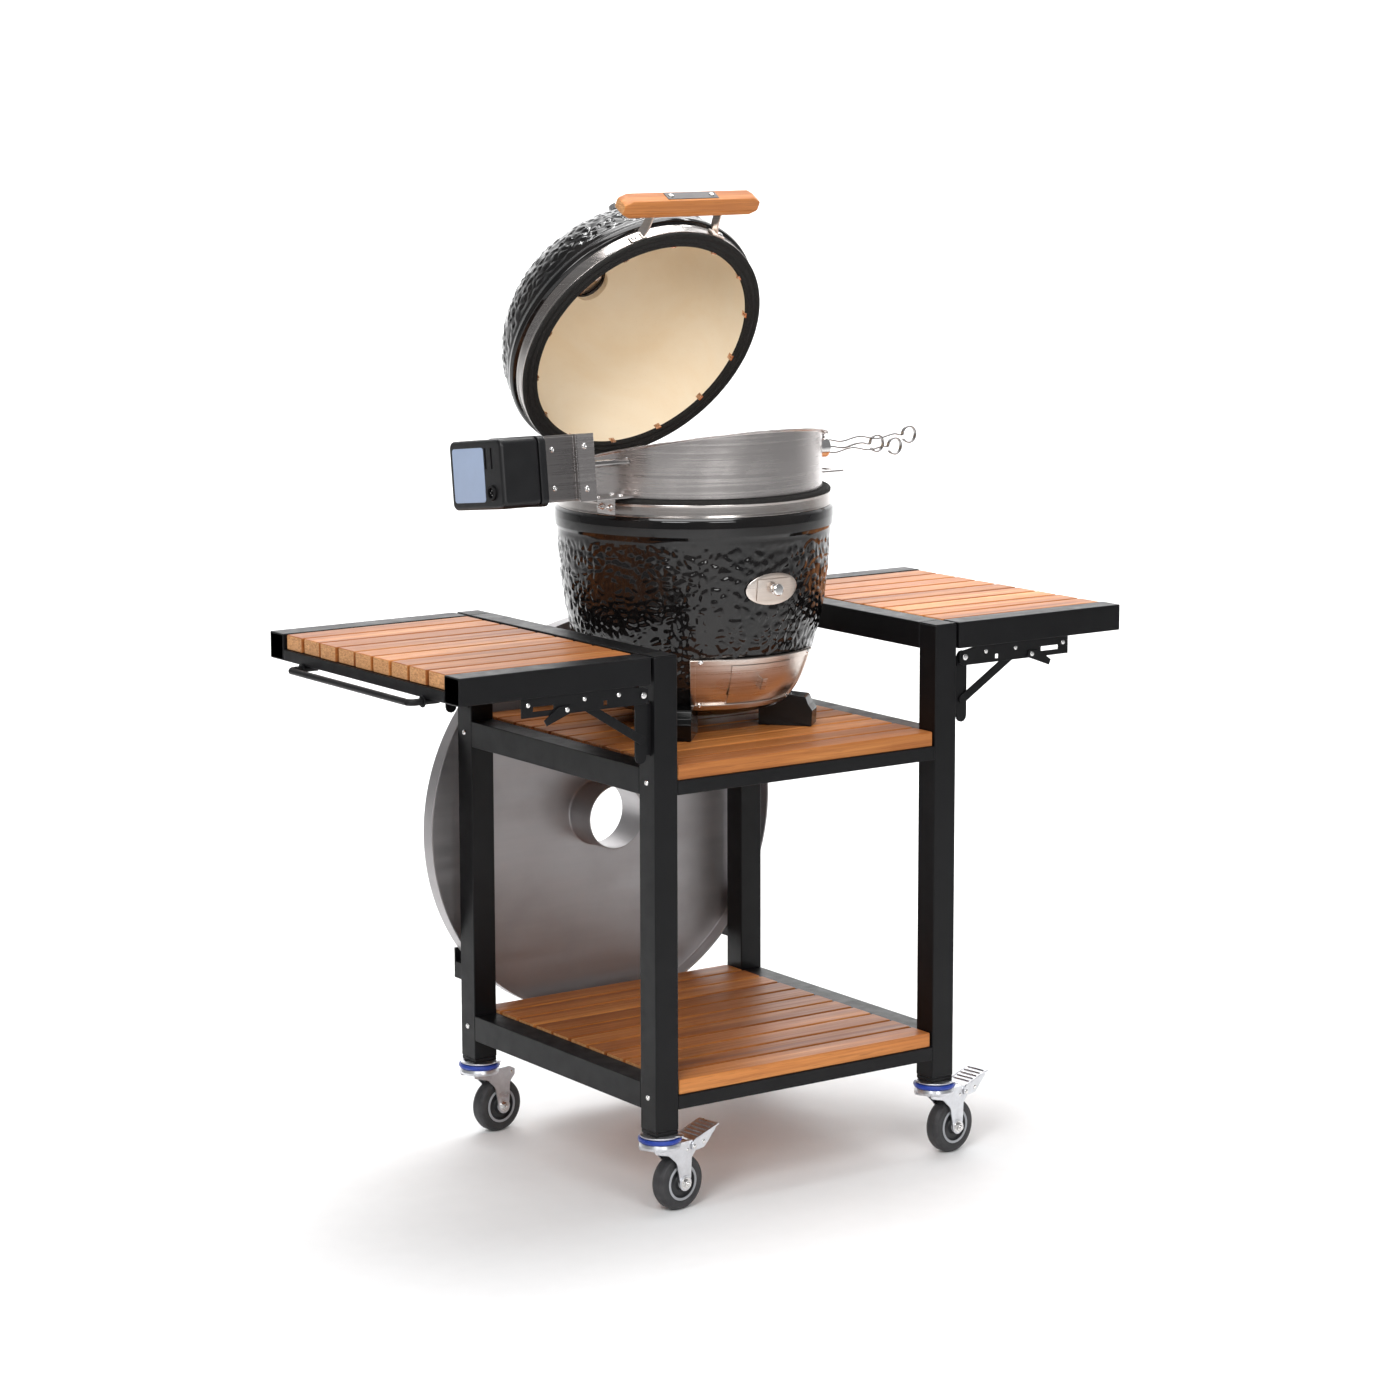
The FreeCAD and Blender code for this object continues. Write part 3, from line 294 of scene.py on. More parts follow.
PLATE_STEEL = metal("rolled_plate", (0.44, 0.425, 0.43), 0.36, 0.5, (3, 3, 46), 0.12, 0.82, (0.36, 0.345, 0.35), 0.06)
DOOR_STEEL = metal("door_steel", (0.80, 0.72, 0.66), 0.24, 0.4, (2, 2, 900), 0.2, tarnish=(0.62, 0.47, 0.37))
ZINC = metal("zinc_plate", (0.79, 0.80, 0.83), 0.26, 0.42, (60, 60, 60), 0.22)
BRIGHT = metal("bright_screws", (0.88, 0.87, 0.86), 0.12, 0.22, (300, 300, 300), 0.12)
SPIT_STEEL = metal("skewer_steel", (0.46, 0.44, 0.43), 0.14, 0.26, (400, 400, 400), 0.2)
COPPER = metal("clip_copper", (0.83, 0.56, 0.42), 0.16, 0.3, (300, 300, 300), 0.2)
IRON = powder("cast_iron", (0.028, 0.027, 0.026), 0.5, 0.7, 500)
BLUE = plain("dust_ring_blue", (0.018, 0.05, 0.33), 0.34)
HUB_GREY = plain("hub_grey", (0.36, 0.37, 0.39), 0.4)
HUB_DARK = plain("hub_dark", (0.02, 0.021, 0.023), 0.42)
RUBBER = rubber()
FELT = felt()
FOOT = plain("foot_black", (0.004, 0.004, 0.004), 0.2, 0.3, 60, 0.2, Specular_IOR_Level=0.3)
LABEL = plain("blank_label", (0.36, 0.45, 0.62), 0.45, 0.05)
INLAY = metal("dark_inlay", (0.13, 0.125, 0.125), 0.34, 0.5, (900, 4, 4), 0.3)


# ---------------------------------------------------------------- shapes
def rounded(points, closed=True, steps=5):
    """Corners (u, v) or (u, v, radius) made into a line whose corners are round where a radius is given."""
    out = []
    count = len(points)
    for i, corner in enumerate(points):
        here = Vector(corner[:2])
        radius = corner[2] if len(corner) > 2 else 0
        if radius <= 0 or (not closed and i in (0, count - 1)):
            out.append(tuple(here))
            continue
        back = Vector(points[i - 1][:2]) - here
        on = Vector(points[(i + 1) % count][:2]) - here
        room = min(back.length, on.length) * 0.49
        back.normalize()
        on.normalize()
        half = math.acos(max(-1, min(1, back.dot(on)))) / 2
        if half > 1.55 or half < 0.02:
            out.append(tuple(here))
            continue
        reach = min(radius / math.tan(half), room)
        radius = reach * math.tan(half)
        middle = here + (back + on).normalized() * (radius / math.sin(half))
        first, last = here + back * reach - middle, here + on * reach - middle
        start = math.atan2(first.y, first.x)
        sweep = (math.atan2(last.y, last.x) - start + math.pi) % (2 * math.pi) - math.pi
        out += [(middle.x + radius * math.cos(start + sweep * k / steps),
                 middle.y + radius * math.sin(start + sweep * k / steps)) for k in range(steps + 1)]
    return out


def smooth_line(points, step):
    """A Catmull-Rom line through points of two or three numbers, sampled about every step."""
    pts = [np.array(p, float) for p in points]
    pts = [2 * pts[0] - pts[1]] + pts + [2 * pts[-1] - pts[-2]]
    out = []
    for a, b, c, d in zip(pts, pts[1:], pts[2:], pts[3:]):
        count = max(1, round(float(np.linalg.norm(c - b)) / step))
        for k in range(count):
            t = k / count
            out.append(0.5 * (2 * b + (c - a) * t + (2 * a - 5 * b + 4 * c - d) * t * t
                              + (3 * b - a - 3 * c + d) * t ** 3))
    out.append(pts[-2])
    return [tuple(p) for p in out]


def lathe(profile, segments=128, closed=True, sweep=None):
    """Turns a profile of (radius, height) about Z. sweep is (first angle, last angle) in degrees, from +X."""
    bm = bmesh.new()
    whole = sweep is None
    first, last = (0, 360) if whole else sweep
    columns = segments if whole else segments + 1
    rows = []
    for radius, height in profile:
        if radius < 1e-6:
            rows.append([bm.verts.new((0, 0, height))] * columns)
            continue
        rows.append([bm.verts.new((radius * math.cos(math.radians(first + (last - first) * k / segments)),
                                   radius * math.sin(math.radians(first + (last - first) * k / segments)), height))
                     for k in range(columns)])
    pairs = list(zip(rows, rows[1:])) + ([(rows[-1], rows[0])] if closed else [])
    for low, high in pairs:
        for k in range(segments):
            nxt = (k + 1) % columns
            face = []
            for v in (low[k], low[nxt], high[nxt], high[k]):
                if v not in face:
                    face.append(v)
            if len(face) > 2:
                bm.faces.new(face)
    if not whole and closed:
        for k in (0, -1):
            bm.faces.new([row[k] for row in rows])
    bmesh.ops.recalc_face_normals(bm, faces=bm.faces)
    return bm


def soften(bm, radius, steps=2, limit=28):
    """Rounds every edge sharper than the limit."""
    if radius > 0:
        edges = [e for e in bm.edges if len(e.link_faces) == 2 and e.calc_face_angle(0) > math.radians(limit)]
        bmesh.ops.bevel(bm, geom=edges, offset=radius, segments=steps, profile=0.6, affect="EDGES",
                        clamp_overlap=True)
    return bm


def prism(outline, low, high, radius=0.0, steps=2):
    """An outline in XY stood up from low to high, with eased edges."""
    bm = bmesh.new()
    bottom = [bm.verts.new((u, v, low)) for u, v in outline]
    top = [bm.verts.new((u, v, high)) for u, v in outline]
    count = len(outline)
    bm.faces.new(bottom)
    bm.faces.new(top)
    for k in range(count):
        bm.faces.new((bottom[k], bottom[(k + 1) % count], top[(k + 1) % count], top[k]))
    bmesh.ops.recalc_face_normals(bm, faces=bm.faces)
    return soften(bm, radius, steps)


def bar(low, high, radius=1.2, steps=2):
    """A box between two corners with eased edges."""
    (x0, y0, z0), (x1, y1, z1) = low, high
    x0, x1, y0, y1, z0, z1 = min(x0, x1), max(x0, x1), min(y0, y1), max(y0, y1), min(z0, z1), max(z0, z1)
    return prism([(x0, y0), (x1, y0), (x1, y1), (x0, y1)], z0, z1, radius, steps)


def tube(path, radius, sides=16, flat=None, twist=None, ends=True):
    """A round or flat bar along a path of points. flat is (width, thickness); twist gives its turn at each point."""
    points = [Vector(p) for p in path]
    bm = bmesh.new()
    up = None
    loops = []
    for i, here in enumerate(points):
        way = (points[min(i + 1, len(points) - 1)] - points[max(i - 1, 0)]).normalized()
        if up is None:
            up = way.orthogonal().normalized() if flat is None else Vector((0, 0, 1))
        up = (up - way * up.dot(way)).normalized()
        side = way.cross(up)
        spin = twist[i] if twist else 0
        loop = []
        if flat:
            w, t = flat[0] / 2, flat[1] / 2
            shape = [(w, t * 0.55), (w * 0.88, t), (-w * 0.88, t), (-w, t * 0.55),
                     (-w, -t * 0.55), (-w * 0.88, -t), (w * 0.88, -t), (w, -t * 0.55)]
        else:
            shape = [(radius * math.cos(2 * math.pi * k / sides), radius * math.sin(2 * math.pi * k / sides))
                     for k in range(sides)]
        for u, v in shape:
            a, b = u * math.cos(spin) - v * math.sin(spin), u * math.sin(spin) + v * math.cos(spin)
            loop.append(bm.verts.new(here + side * a + up * b))
        loops.append(loop)
    for one, two in zip(loops, loops[1:]):
        for k in range(len(one)):
            n = (k + 1) % len(one)
            bm.faces.new((one[k], one[n], two[n], two[k]))
    if ends:
        bm.faces.new(loops[0])
        bm.faces.new(loops[-1])
    bmesh.ops.recalc_face_normals(bm, faces=bm.faces)
    return bm


def screw(radius=4.0, tall=2.6, kind="dome"):
    """A screw head that stands on Z = 0: a dome with a socket, a hexagon with a washer, or a flat rivet."""
    if kind == "hex":
        bm = prism([(radius * math.cos(math.pi / 3 * k), radius * math.sin(math.pi / 3 * k)) for k in range(6)],
                   1.2, tall + 1.2, 0.35)
        join(bm, lathe(rounded([(0, 0), (radius * 1.35, 0, 0.3), (radius * 1.35, 1.2, 0.3), (0, 1.2)], False), 28,
                       False))
        join(bm, lathe(rounded([(0, tall), (radius * 0.5, tall), (radius * 0.5, tall + 4, 0.6), (0, tall + 4)],
                               False), 20, False))
        return bm
    if kind == "rivet":
        profile = [(0, 0), (radius, 0), (radius, tall * 0.55, 0.5), (radius * 0.55, tall, 0.8), (0, tall)]
    else:
        profile = [(0, 0), (radius, 0), (radius, tall * 0.4, 0.5), (radius * 0.72, tall, 0.9), (radius * 0.42, tall),
                   (radius * 0.38, tall * 0.35), (0, tall * 0.35)]
    return lathe(rounded(profile, False, 3), 28, False)


def join(bm, other, matrix=None, index=0):
    """Adds other to bm, moved by matrix, with a material index."""
    if matrix is not None:
        bmesh.ops.transform(other, matrix=matrix, verts=other.verts)
    if index:
        for face in other.faces:
            face.material_index = index
    tones = other.verts.layers.float.get("tone")
    if tones and not bm.verts.layers.float.get("tone"):
        bm.verts.layers.float.new("tone")
    held = bpy.data.meshes.new("held")
    other.to_mesh(held)
    other.free()
    bm.from_mesh(held)
    bpy.data.meshes.remove(held)
    return bm


def piece(name, bm, materials, body, nodes=(), matrix=None, sharp=32, level=True):
    """Makes the object, in metres, and hands it to the frame."""
    if matrix is not None:
        bmesh.ops.transform(bm, matrix=matrix, verts=bm.verts)
    bmesh.ops.transform(bm, matrix=TO_ROW, verts=bm.verts)
    mesh = bpy.data.meshes.new(name)
    bm.to_mesh(mesh)
    bm.free()
    mesh.shade_smooth()
    mesh.set_sharp_from_angle(angle=math.radians(sharp))
    thing = bpy.data.objects.new(name, mesh)
    bpy.context.scene.collection.objects.link(thing)
    for material in (materials if isinstance(materials, (list, tuple)) else [materials]):
        mesh.materials.append(material)
    if level:
        normals = thing.modifiers.new("Level", "WEIGHTED_NORMAL")
        normals.keep_sharp = True
    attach(thing, body)
    if nodes:
        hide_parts(*nodes)
    return thing


def carve(bm, cutters):
    """Cuts the cutters out of bm with Blender's exact boolean."""
    mesh = bpy.data.meshes.new("carved")
    bm.to_mesh(mesh)
    bm.free()
    thing = bpy.data.objects.new("carved", mesh)
    bpy.context.scene.collection.objects.link(thing)
    tools = []
    for cutter in cutters:
        tool_mesh = bpy.data.meshes.new("cutter")
        cutter.to_mesh(tool_mesh)
        cutter.free()
        tool = bpy.data.objects.new("cutter", tool_mesh)
        bpy.context.scene.collection.objects.link(tool)
        cut = thing.modifiers.new("Cut", "BOOLEAN")
        cut.operation = "DIFFERENCE"
        cut.solver = "EXACT"
        cut.object = tool
        tools.append(tool)
    bpy.context.view_layer.update()
    result = bpy.data.meshes.new_from_object(thing.evaluated_get(bpy.context.evaluated_depsgraph_get()))
    out = bmesh.new()
    out.from_mesh(result)
    for gone in [thing] + tools:
        held = gone.data
        bpy.data.objects.remove(gone)
        bpy.data.meshes.remove(held)
    bpy.data.meshes.remove(result)
    return out


def carried(node, material, radius=0.0006):
    """Keeps a CAD node, with welded and eased edges and a material."""
    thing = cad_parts[node]
    weld = thing.modifiers.new("Weld", "WELD")
    weld.merge_threshold = 1e-5
    if radius:
        ease = thing.modifiers.new("Ease", "BEVEL")
        ease.width = radius
        ease.segments = 2
        ease.limit_method = "ANGLE"
        ease.angle_limit = math.radians(35)
        ease.harden_normals = True
    if not thing.material_slots:
        thing.data.materials.append(None)
    for held in thing.material_slots:
        held.link = "OBJECT"
        held.material = material
    return thing


def boxes_of(node):
    """Lowest and highest corners, in millimetres from the cart's centre, of each separate solid of a CAD node."""
    bm = bmesh.new()
    bm.from_mesh(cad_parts[node].data)
    bmesh.ops.remove_doubles(bm, verts=bm.verts, dist=1e-5)
    seen, out = set(), []
    for start in bm.verts:
        if start in seen:
            continue
        stack, island = [start], []
        seen.add(start)
        while stack:
            v = stack.pop()
            island.append((v.co - CENTRE) * 1000)
            for e in v.link_edges:
                w = e.other_vert(v)
                if w not in seen:
                    seen.add(w)
                    stack.append(w)
        pts = np.array(island)
        out.append((tuple(pts.min(0)), tuple(pts.max(0))))
    bm.free()
    return out


# ---------------------------------------------------------------- cart frame
def rounded_boxes(node, name, material, body, radius, toned=False, jitter=0.0):
    """Each solid of a box-like node as a bar with eased edges; a tone per bar tells its board apart."""
    bm = bmesh.new()
    tone = bm.verts.layers.float.new("tone") if toned else None
    for low, high in sorted(boxes_of(node)):
        ease = random.uniform(0, jitter)
        slim = 0.7 if toned else 0
        one = bar((low[0] + ease, low[1] + slim, low[2]), (high[0] - ease * 0.7, high[1] - slim, high[2]), radius, 3)
        if toned:
            layer = one.verts.layers.float.new("tone")
            shade = random.random()
            for v in one.verts:
                v[layer] = shade
        join(bm, one)
    return piece(name, bm, material, body, [node])


def cart():
    legs = bmesh.new()
    for low, high in boxes_of("cart_legs"):
        join(legs, bar(low, (high[0], high[1], high[2] - 1.6), 2.2, 3))
        join(legs, bar((low[0] + 1.2, low[1] + 1.2, high[2] - 3), (high[0] - 1.2, high[1] - 1.2, high[2]), 1.0), index=1)
    piece("cart_leg_tubes", legs, [BLACK, CAP], "cart", ["cart_legs"])
    rounded_boxes("side_rails", "cart_side_tubes", BLACK, "cart", 2.0)
    rounded_boxes("cross_rails", "cart_cross_tubes", BLACK, "cart", 1.8)
    for level in ("middle", "bottom"):
        rounded_boxes(level + "_shelf_slats", level + "_shelf_boards", WOOD, "cart", 2.2, True, 1.2)
    bolts = bmesh.new()
    for side in (-1, 1):
        for y in (-249, 249):
            for z in (642, 177):
                join(bolts, screw(4.2, 2.2), shift(side * 275, y, z) @ turn(90 * side, "Y"))
    piece("cart_screws", bolts, BRIGHT, "cart")


# ---------------------------------------------------------------- folding shelves
def shelf(name, side):
    body = name + "_shelf"
    near, far = CART_W / 2 + 5, CART_W / 2 + 5 + 319
    frame_bars = bmesh.new()
    top, low = 827, 787
    for y in (-1, 1):
        outer, inner = y * CART_D / 2, y * (CART_D / 2 - TUBE)
        join(frame_bars, bar((side * near, outer, low), (side * far, inner, top), 2.2, 3))
        join(frame_bars, bar((side * (far - 0.5), outer - y * 1.6, low + 1.6), (side * far, inner + y * 1.6, top - 1.6),
                             0.2), index=1)
    for x in (near, far - TUBE):
        join(frame_bars, bar((side * x, -CART_D / 2 + TUBE, low), (side * (x + TUBE), CART_D / 2 - TUBE, low + 17),
                             1.8, 2))
    piece(name + "_shelf_tubes", frame_bars, [BLACK, CAP], body, ["shelf_frame_" + name])
    rounded_boxes("shelf_slats_" + name, name + "_shelf_boards", WOOD, body, 2.4, True, 2.0)
    for part, owner in (("bracket_arms_", body), ("bracket_braces_", name + "_braces"),
                        ("release_levers_", name + "_levers")):
        carried(part + name, BLACK, 0.0005)
    rivets, shelf_rivets = bmesh.new(), bmesh.new()
    for y in (-1, 1):
        face = y * (CART_D / 2 - 1.1)
        out = turn(-90 * y, "X")
        join(rivets, screw(4.6, 1.6, "rivet"), shift(side * 292.5, face, 773) @ out)
        for x, z, r in ((334, 778, 3.4), (392, 778, 3.2), (422.5, 766, 3.6), (486, 778, 3.4)):
            lift = 0.8 if x == 422.5 else -1.7
            join(shelf_rivets, screw(r, 1.5, "rivet"), shift(side * x, face + y * lift, z) @ out)
        for z in (706, 690, 753):
            join(rivets, screw(3.6, 1.8, "dome"), shift(side * 277.6, y * 246, z) @ turn(90 * side, "Y"))
    piece(name + "_bracket_rivets", rivets, BRIGHT, "cart")
    piece(name + "_arm_rivets", shelf_rivets, BRIGHT, body)


def towel_rail():
    x, z = -CART_W / 2 - 5 - 319 - 21.9, 782
    path = [(x + 47, -172, z), (x + 16, -172, z), (x + 6, -171, z), (x + 1, -166, z), (x, -156, z), (x, -60, z),
            (x, 60, z), (x, 156, z), (x + 1, 166, z), (x + 6, 171, z), (x + 16, 172, z), (x + 47, 172, z)]
    rail = tube(smooth_line(path, 4), 5, 20)
    for y in (-172, 172):
        join(rail, lathe(rounded([(0, 0), (8.5, 0, 0.6), (8.5, 2.4, 0.8), (0, 2.4)], False), 28, False),
             shift(-599 - 2.4, y, z) @ ALONG_X)
    piece("towel_rail_rod", rail, BLACK, "left_shelf", ["towel_rail"])


# ---------------------------------------------------------------- castors
def castor(name, x, y):
    place = shift(x, y, 0) @ Matrix.Rotation(SWING, 4, "Z")
    upright = turn(90, "X")
    braked = name.startswith("front")
    body = "castor_" + name
    fork = lathe(rounded([(0, 100), (30, 100, 1.5), (31, 104, 1.5), (29.5, 109, 1.2), (24, 109), (0, 108.8)], False),
                 64, False)
    outline = rounded([(-27, 105, 3), (46, 105, 2), (57, 99, 3), (57, 90, 4), (47, 79, 6), (45.5, 50, 4), (43, 33, 8),
                       (26, 31, 8), (22.5, 50, 8), (18, 74, 14), (2, 89, 12), (-24, 96, 5)], True, 5)
    for face in (-1, 1):
        cheek = prism([(u, -v) for u, v in outline], -1.25, 1.25, 0.5, 2)
        join(fork, cheek, shift(0, face * 16.75, 0) @ turn(-90, "X"))
        join(fork, lathe(rounded([(0, 0), (11.5, 0, 0.5), (11.5, 1.0, 0.5), (0, 1.0)], False), 30, False),
             shift(34, face * 18, 42) @ turn(-90 * face, "X"))
        join(fork, screw(6.6, 4.4, "hex") if face < 0 else screw(6.6, 3.2, "dome"),
             shift(34, face * 18.8, 42) @ turn(-90 * face, "X") @ turn(20, "Z"), 1)
        join(fork, screw(2.6, 1.4, "rivet"), shift(50 if not braked else 38, face * 18, 95 if not braked else 92)
             @ turn(-90 * face, "X"), 1)
    join(fork, bar((-22, -17.5, 101.5), (44, 17.5, 104.5), 1.0))
    join(fork, tube([(34, -17, 42), (34, 17, 42)], 4, 16))
    piece("fork_" + name, fork, [ZINC, BRIGHT], body, ["castor_fork_" + name], place)

    tyre = lathe(rounded([(27.5, -11.5), (35, -12.3, 3), (39.5, -11.2, 3), (42, -5.5, 6), (42, 5.5, 6), (39.5, 11.2, 3),
                          (35, 12.3, 3), (27.5, 11.5)], True, 6), 96)
    core = lathe(rounded([(4.1, -14), (11, -14, 1), (12.5, -9, 2), (21, -8, 2), (22.5, -12, 1.2), (28.4, -12, 1.2),
                          (28.4, 12, 1.2), (22.5, 12, 1.2), (21, 8, 2), (12.5, 9, 2), (11, 14, 1), (4.1, 14)], True, 4),
                 80)
    for face in core.faces:
        face.material_index = 1
    for face in (-1, 1):
        join(core, lathe(rounded([(23.2, 11.6), (27.4, 11.6), (27.0, 12.7, 0.5), (23.6, 12.7, 0.5)]), 80),
             None if face > 0 else turn(180, "X"), 2)
        join(core, lathe(rounded([(4.1, 13.4), (10.2, 13.4), (9.8, 15.0, 0.6), (4.1, 15.0)]), 40),
             None if face > 0 else turn(180, "X"), 3)
    join(tyre, core)
    spin = place @ shift(34, 0, 42) @ upright
    piece("wheel_" + name, tyre, [RUBBER, HUB_DARK, HUB_GREY, ZINC], "wheel_" + name,
          ["castor_wheel_" + name], spin)
    if braked:
        tread = prism(rounded([(49, 104.5), (98, 121.2, 0.8), (99.5, 118.8), (95, 118), (52, 103.2)], True, 3), -21, 21,
                      0.5)
        bmesh.ops.transform(tread, matrix=upright, verts=tread.verts)
        for face in (-1, 1):
            cheek = prism([(u, -v) for u, v in rounded([(50, 106, 1), (96, 120.5, 2), (90, 112, 4), (70, 91, 4),
                                                         (56, 89, 3), (45, 91, 3), (45, 99, 3)], True, 4)],
                          -1, 1, 0.4)
            join(tread, cheek, shift(0, face * 19.8, 0) @ turn(-90, "X"))
            for u, v in ((50, 95), (68, 99)):
                join(tread, screw(3.2, 1.4, "rivet"), shift(u, face * 20.8, v) @ turn(-90 * face, "X"), 1)
        for k in range(5):
            u = 60 + k * 8.0
            v = 105.2 + (u - 49) * 0.341
            join(tread, tube([(u, -16, v), (u, 16, v)], 0.9, 8))
        piece("pedal_" + name, tread, [ZINC, BRIGHT], "pedal_" + name, ["brake_pedal_" + name], place)


def castor_tops():
    cups, rings = bmesh.new(), bmesh.new()
    for x, y in SPOTS.values():
        cup = lathe(rounded([(0, 109.7), (25.8, 109.7), (25.8, 117), (29, 117.2, 0.8), (29.5, 119.4, 1.0),
                             (24, 120.9, 1.5), (0, 120.9)], False, 4), 64, False)
        join(cups, cup, shift(x, y, 0))
        join(cups, screw(9.5, 1.6, "rivet"), shift(x + 17, y - 21, 119.4))
        join(cups, bar((x - 19.2, y - 19.2, 121), (x + 19.2, y + 19.2, 127), 0.8), index=1)
        ring = lathe(rounded([(26, 110), (31, 109.8, 1), (32.4, 112.8, 1.5), (31.6, 116.1, 1), (26, 116.2)], True, 4), 72)
        join(rings, ring, shift(x, y, 0))
    piece("castor_cups", cups, [ZINC, CAP], "cart", ["castor_mounts"])
    piece("dust_rings", rings, BLUE, "cart", ["castor_dust_rings"])


# ---------------------------------------------------------------- ceramic body
def dimple(point):
    """Height of the glaze's leathery pebbles at a point, from -0.5 to 0.5."""
    warped = point / 15.5 + noise.noise_vector(point / 21) * 0.42
    near = noise.voronoi(warped)[0]
    crease = min(1.0, (near[1] - near[0]) * 1.9)
    soft = crease * crease * (3 - 2 * crease)
    return soft - 0.5 + 0.25 * noise.noise(point / 9)


def pebble(bm, rows_where, depth, to_solid=Matrix()):
    """Pushes the vertices of the dimpled zone in or out along their normals."""
    bm.normal_update()
    moves = []
    for v in bm.verts:
        much = rows_where(v.co)
        if much > 0:
            moves.append((v, v.normal * (min(dimple(to_solid @ v.co), 0.5) - 0.5) * depth * much))
    for v, move in moves:
        v.co += move
    return bm


def ease_in(value, low, high):
    t = max(0.0, min(1.0, (value - low) / (high - low)))
    return t * t * (3 - 2 * t)


OUTSIDE = [(95.7, 688), (129, 699), (159.1, 732), (180.1, 782), (194.1, 834), (202.6, 890), (206.8, 942), (208, 964)]
INSIDE = [(182, 964), (179.3, 896), (169.3, 834), (153.8, 782), (131, 740), (96.5, 715), (54.6, 711)]


def bowl():
    outer = smooth_line(OUTSIDE, 2.3)
    bead = rounded([(208, 964), (208.6, 967, 1.5), (210.9, 972, 4), (211.9, 985, 8), (211.4, 996, 4), (207.3, 999.8, 1.5),
                    (206.3, 1000.3), (206.3, 1020), (182, 1020)], False, 5)
    profile = [(0, 688)] + outer + bead[1:] + smooth_line(INSIDE, 14) + [(0, 711)]
    bm = lathe(profile, 560, False)
    pebble(bm, lambda p: ease_in(math.hypot(p.x, p.y), 120, 150) * (1 - ease_in(p.z, 945, 962))
           * (1 if math.hypot(p.x, p.y) > np.interp(p.z, [690, 735, 782, 834, 964], [100, 145, 165, 180, 195]) else 0),
           1.7)
    for face in bm.faces:
        c = face.calc_center_median()
        wall = np.interp(c.z, [700, 716, 741, 783, 835, 897, 1019], [40, 100, 135, 158, 174, 184.5, 184])
        if c.z > 705 and math.hypot(c.x, c.y) < wall:
            face.material_index = 1
    hole = prism(rounded([(-52, 726, 10), (52, 726, 10), (52, 772, 10), (-52, 772, 10)]), 60, 230)
    port = prism(rounded([(-34, 878, 8), (34, 878, 8), (34, 904, 8), (-34, 904, 8)]), 100, 240)
    for cutter in (hole, port):
        bmesh.ops.transform(cutter, matrix=turn(90, "X"), verts=cutter.verts)
    bm = carve(bm, [hole, port])
    piece("bowl", bm, [GLAZE, CLAY], "cart", ["base_shell"], BODY, 60, False)

    band = lathe(rounded([(206.5, 1000.4), (207.2, 1000.2, 0.4), (207.5, 1001, 0.3), (207.0, 1004, 1), (207.0, 1016, 1),
                          (207.5, 1019, 0.3), (207.2, 1019.9, 0.4), (206.5, 1019.8)], True, 3), 256)
    piece("bowl_band", band, BAND_STEEL, "cart", ["base_band"], BODY)
    ridges = [(184, 1020.1), (207, 1020.1, 0.5), (207.3, 1023, 0.8), (205, 1025.8, 1.2), (199, 1024.6, 1), (193, 1026, 1.5),
              (187, 1025, 1.2), (184, 1025.4, 0.5)]
    piece("bowl_gasket", lathe(rounded(ridges, True, 4), 200), FELT, "cart", ["base_gasket"], BODY)

    feet = bmesh.new()
    side = rounded([(104, 665.2, 1), (186, 665.2, 2), (187, 690, 4), (181, 698, 4), (176, 711, 6), (140, 714, 4),
                    (104, 704, 2)], True, 4)
    upright = Matrix(((1, 0, 0, 0), (0, 0, 1, 0), (0, 1, 0, 0), (0, 0, 0, 1)))
    for angle in (-132, -48, 90):
        join(feet, prism(side, -18, 18, 2.6, 3), turn(angle, "Z") @ upright)
    bowl_tool = lathe([(0, 687)] + [(r + 1.4, z - 1) for r, z in smooth_line(OUTSIDE, 8)] + [(0, 964)], 128, False)
    piece("bowl_feet", carve(feet, [bowl_tool]), FOOT, "cart", ["body_feet"], BODY, 40)


def wall_at(z):
    return float(np.interp(z, [p[1] for p in DENSE], [p[0] for p in DENSE]))


DENSE = smooth_line(OUTSIDE, 3)


def wall_sheet(low, high, first, last, inner, outer, radius=0.3, columns=40):
    """A thin sheet along the bowl's wall between two heights and two angles from the front."""
    zs = np.linspace(low, high, 14)
    profile = []
    for offset in (inner, outer):
        run = []
        for z in zs:
            slope = (wall_at(z + 2) - wall_at(z - 2)) / 4
            size = math.hypot(1, slope)
            run.append((wall_at(z) + offset / size, z - offset * slope / size))
        profile += run if offset == inner else run[::-1]
    return soften(lathe(profile, columns, True, (first - 90, last - 90)), radius, 1, 50)


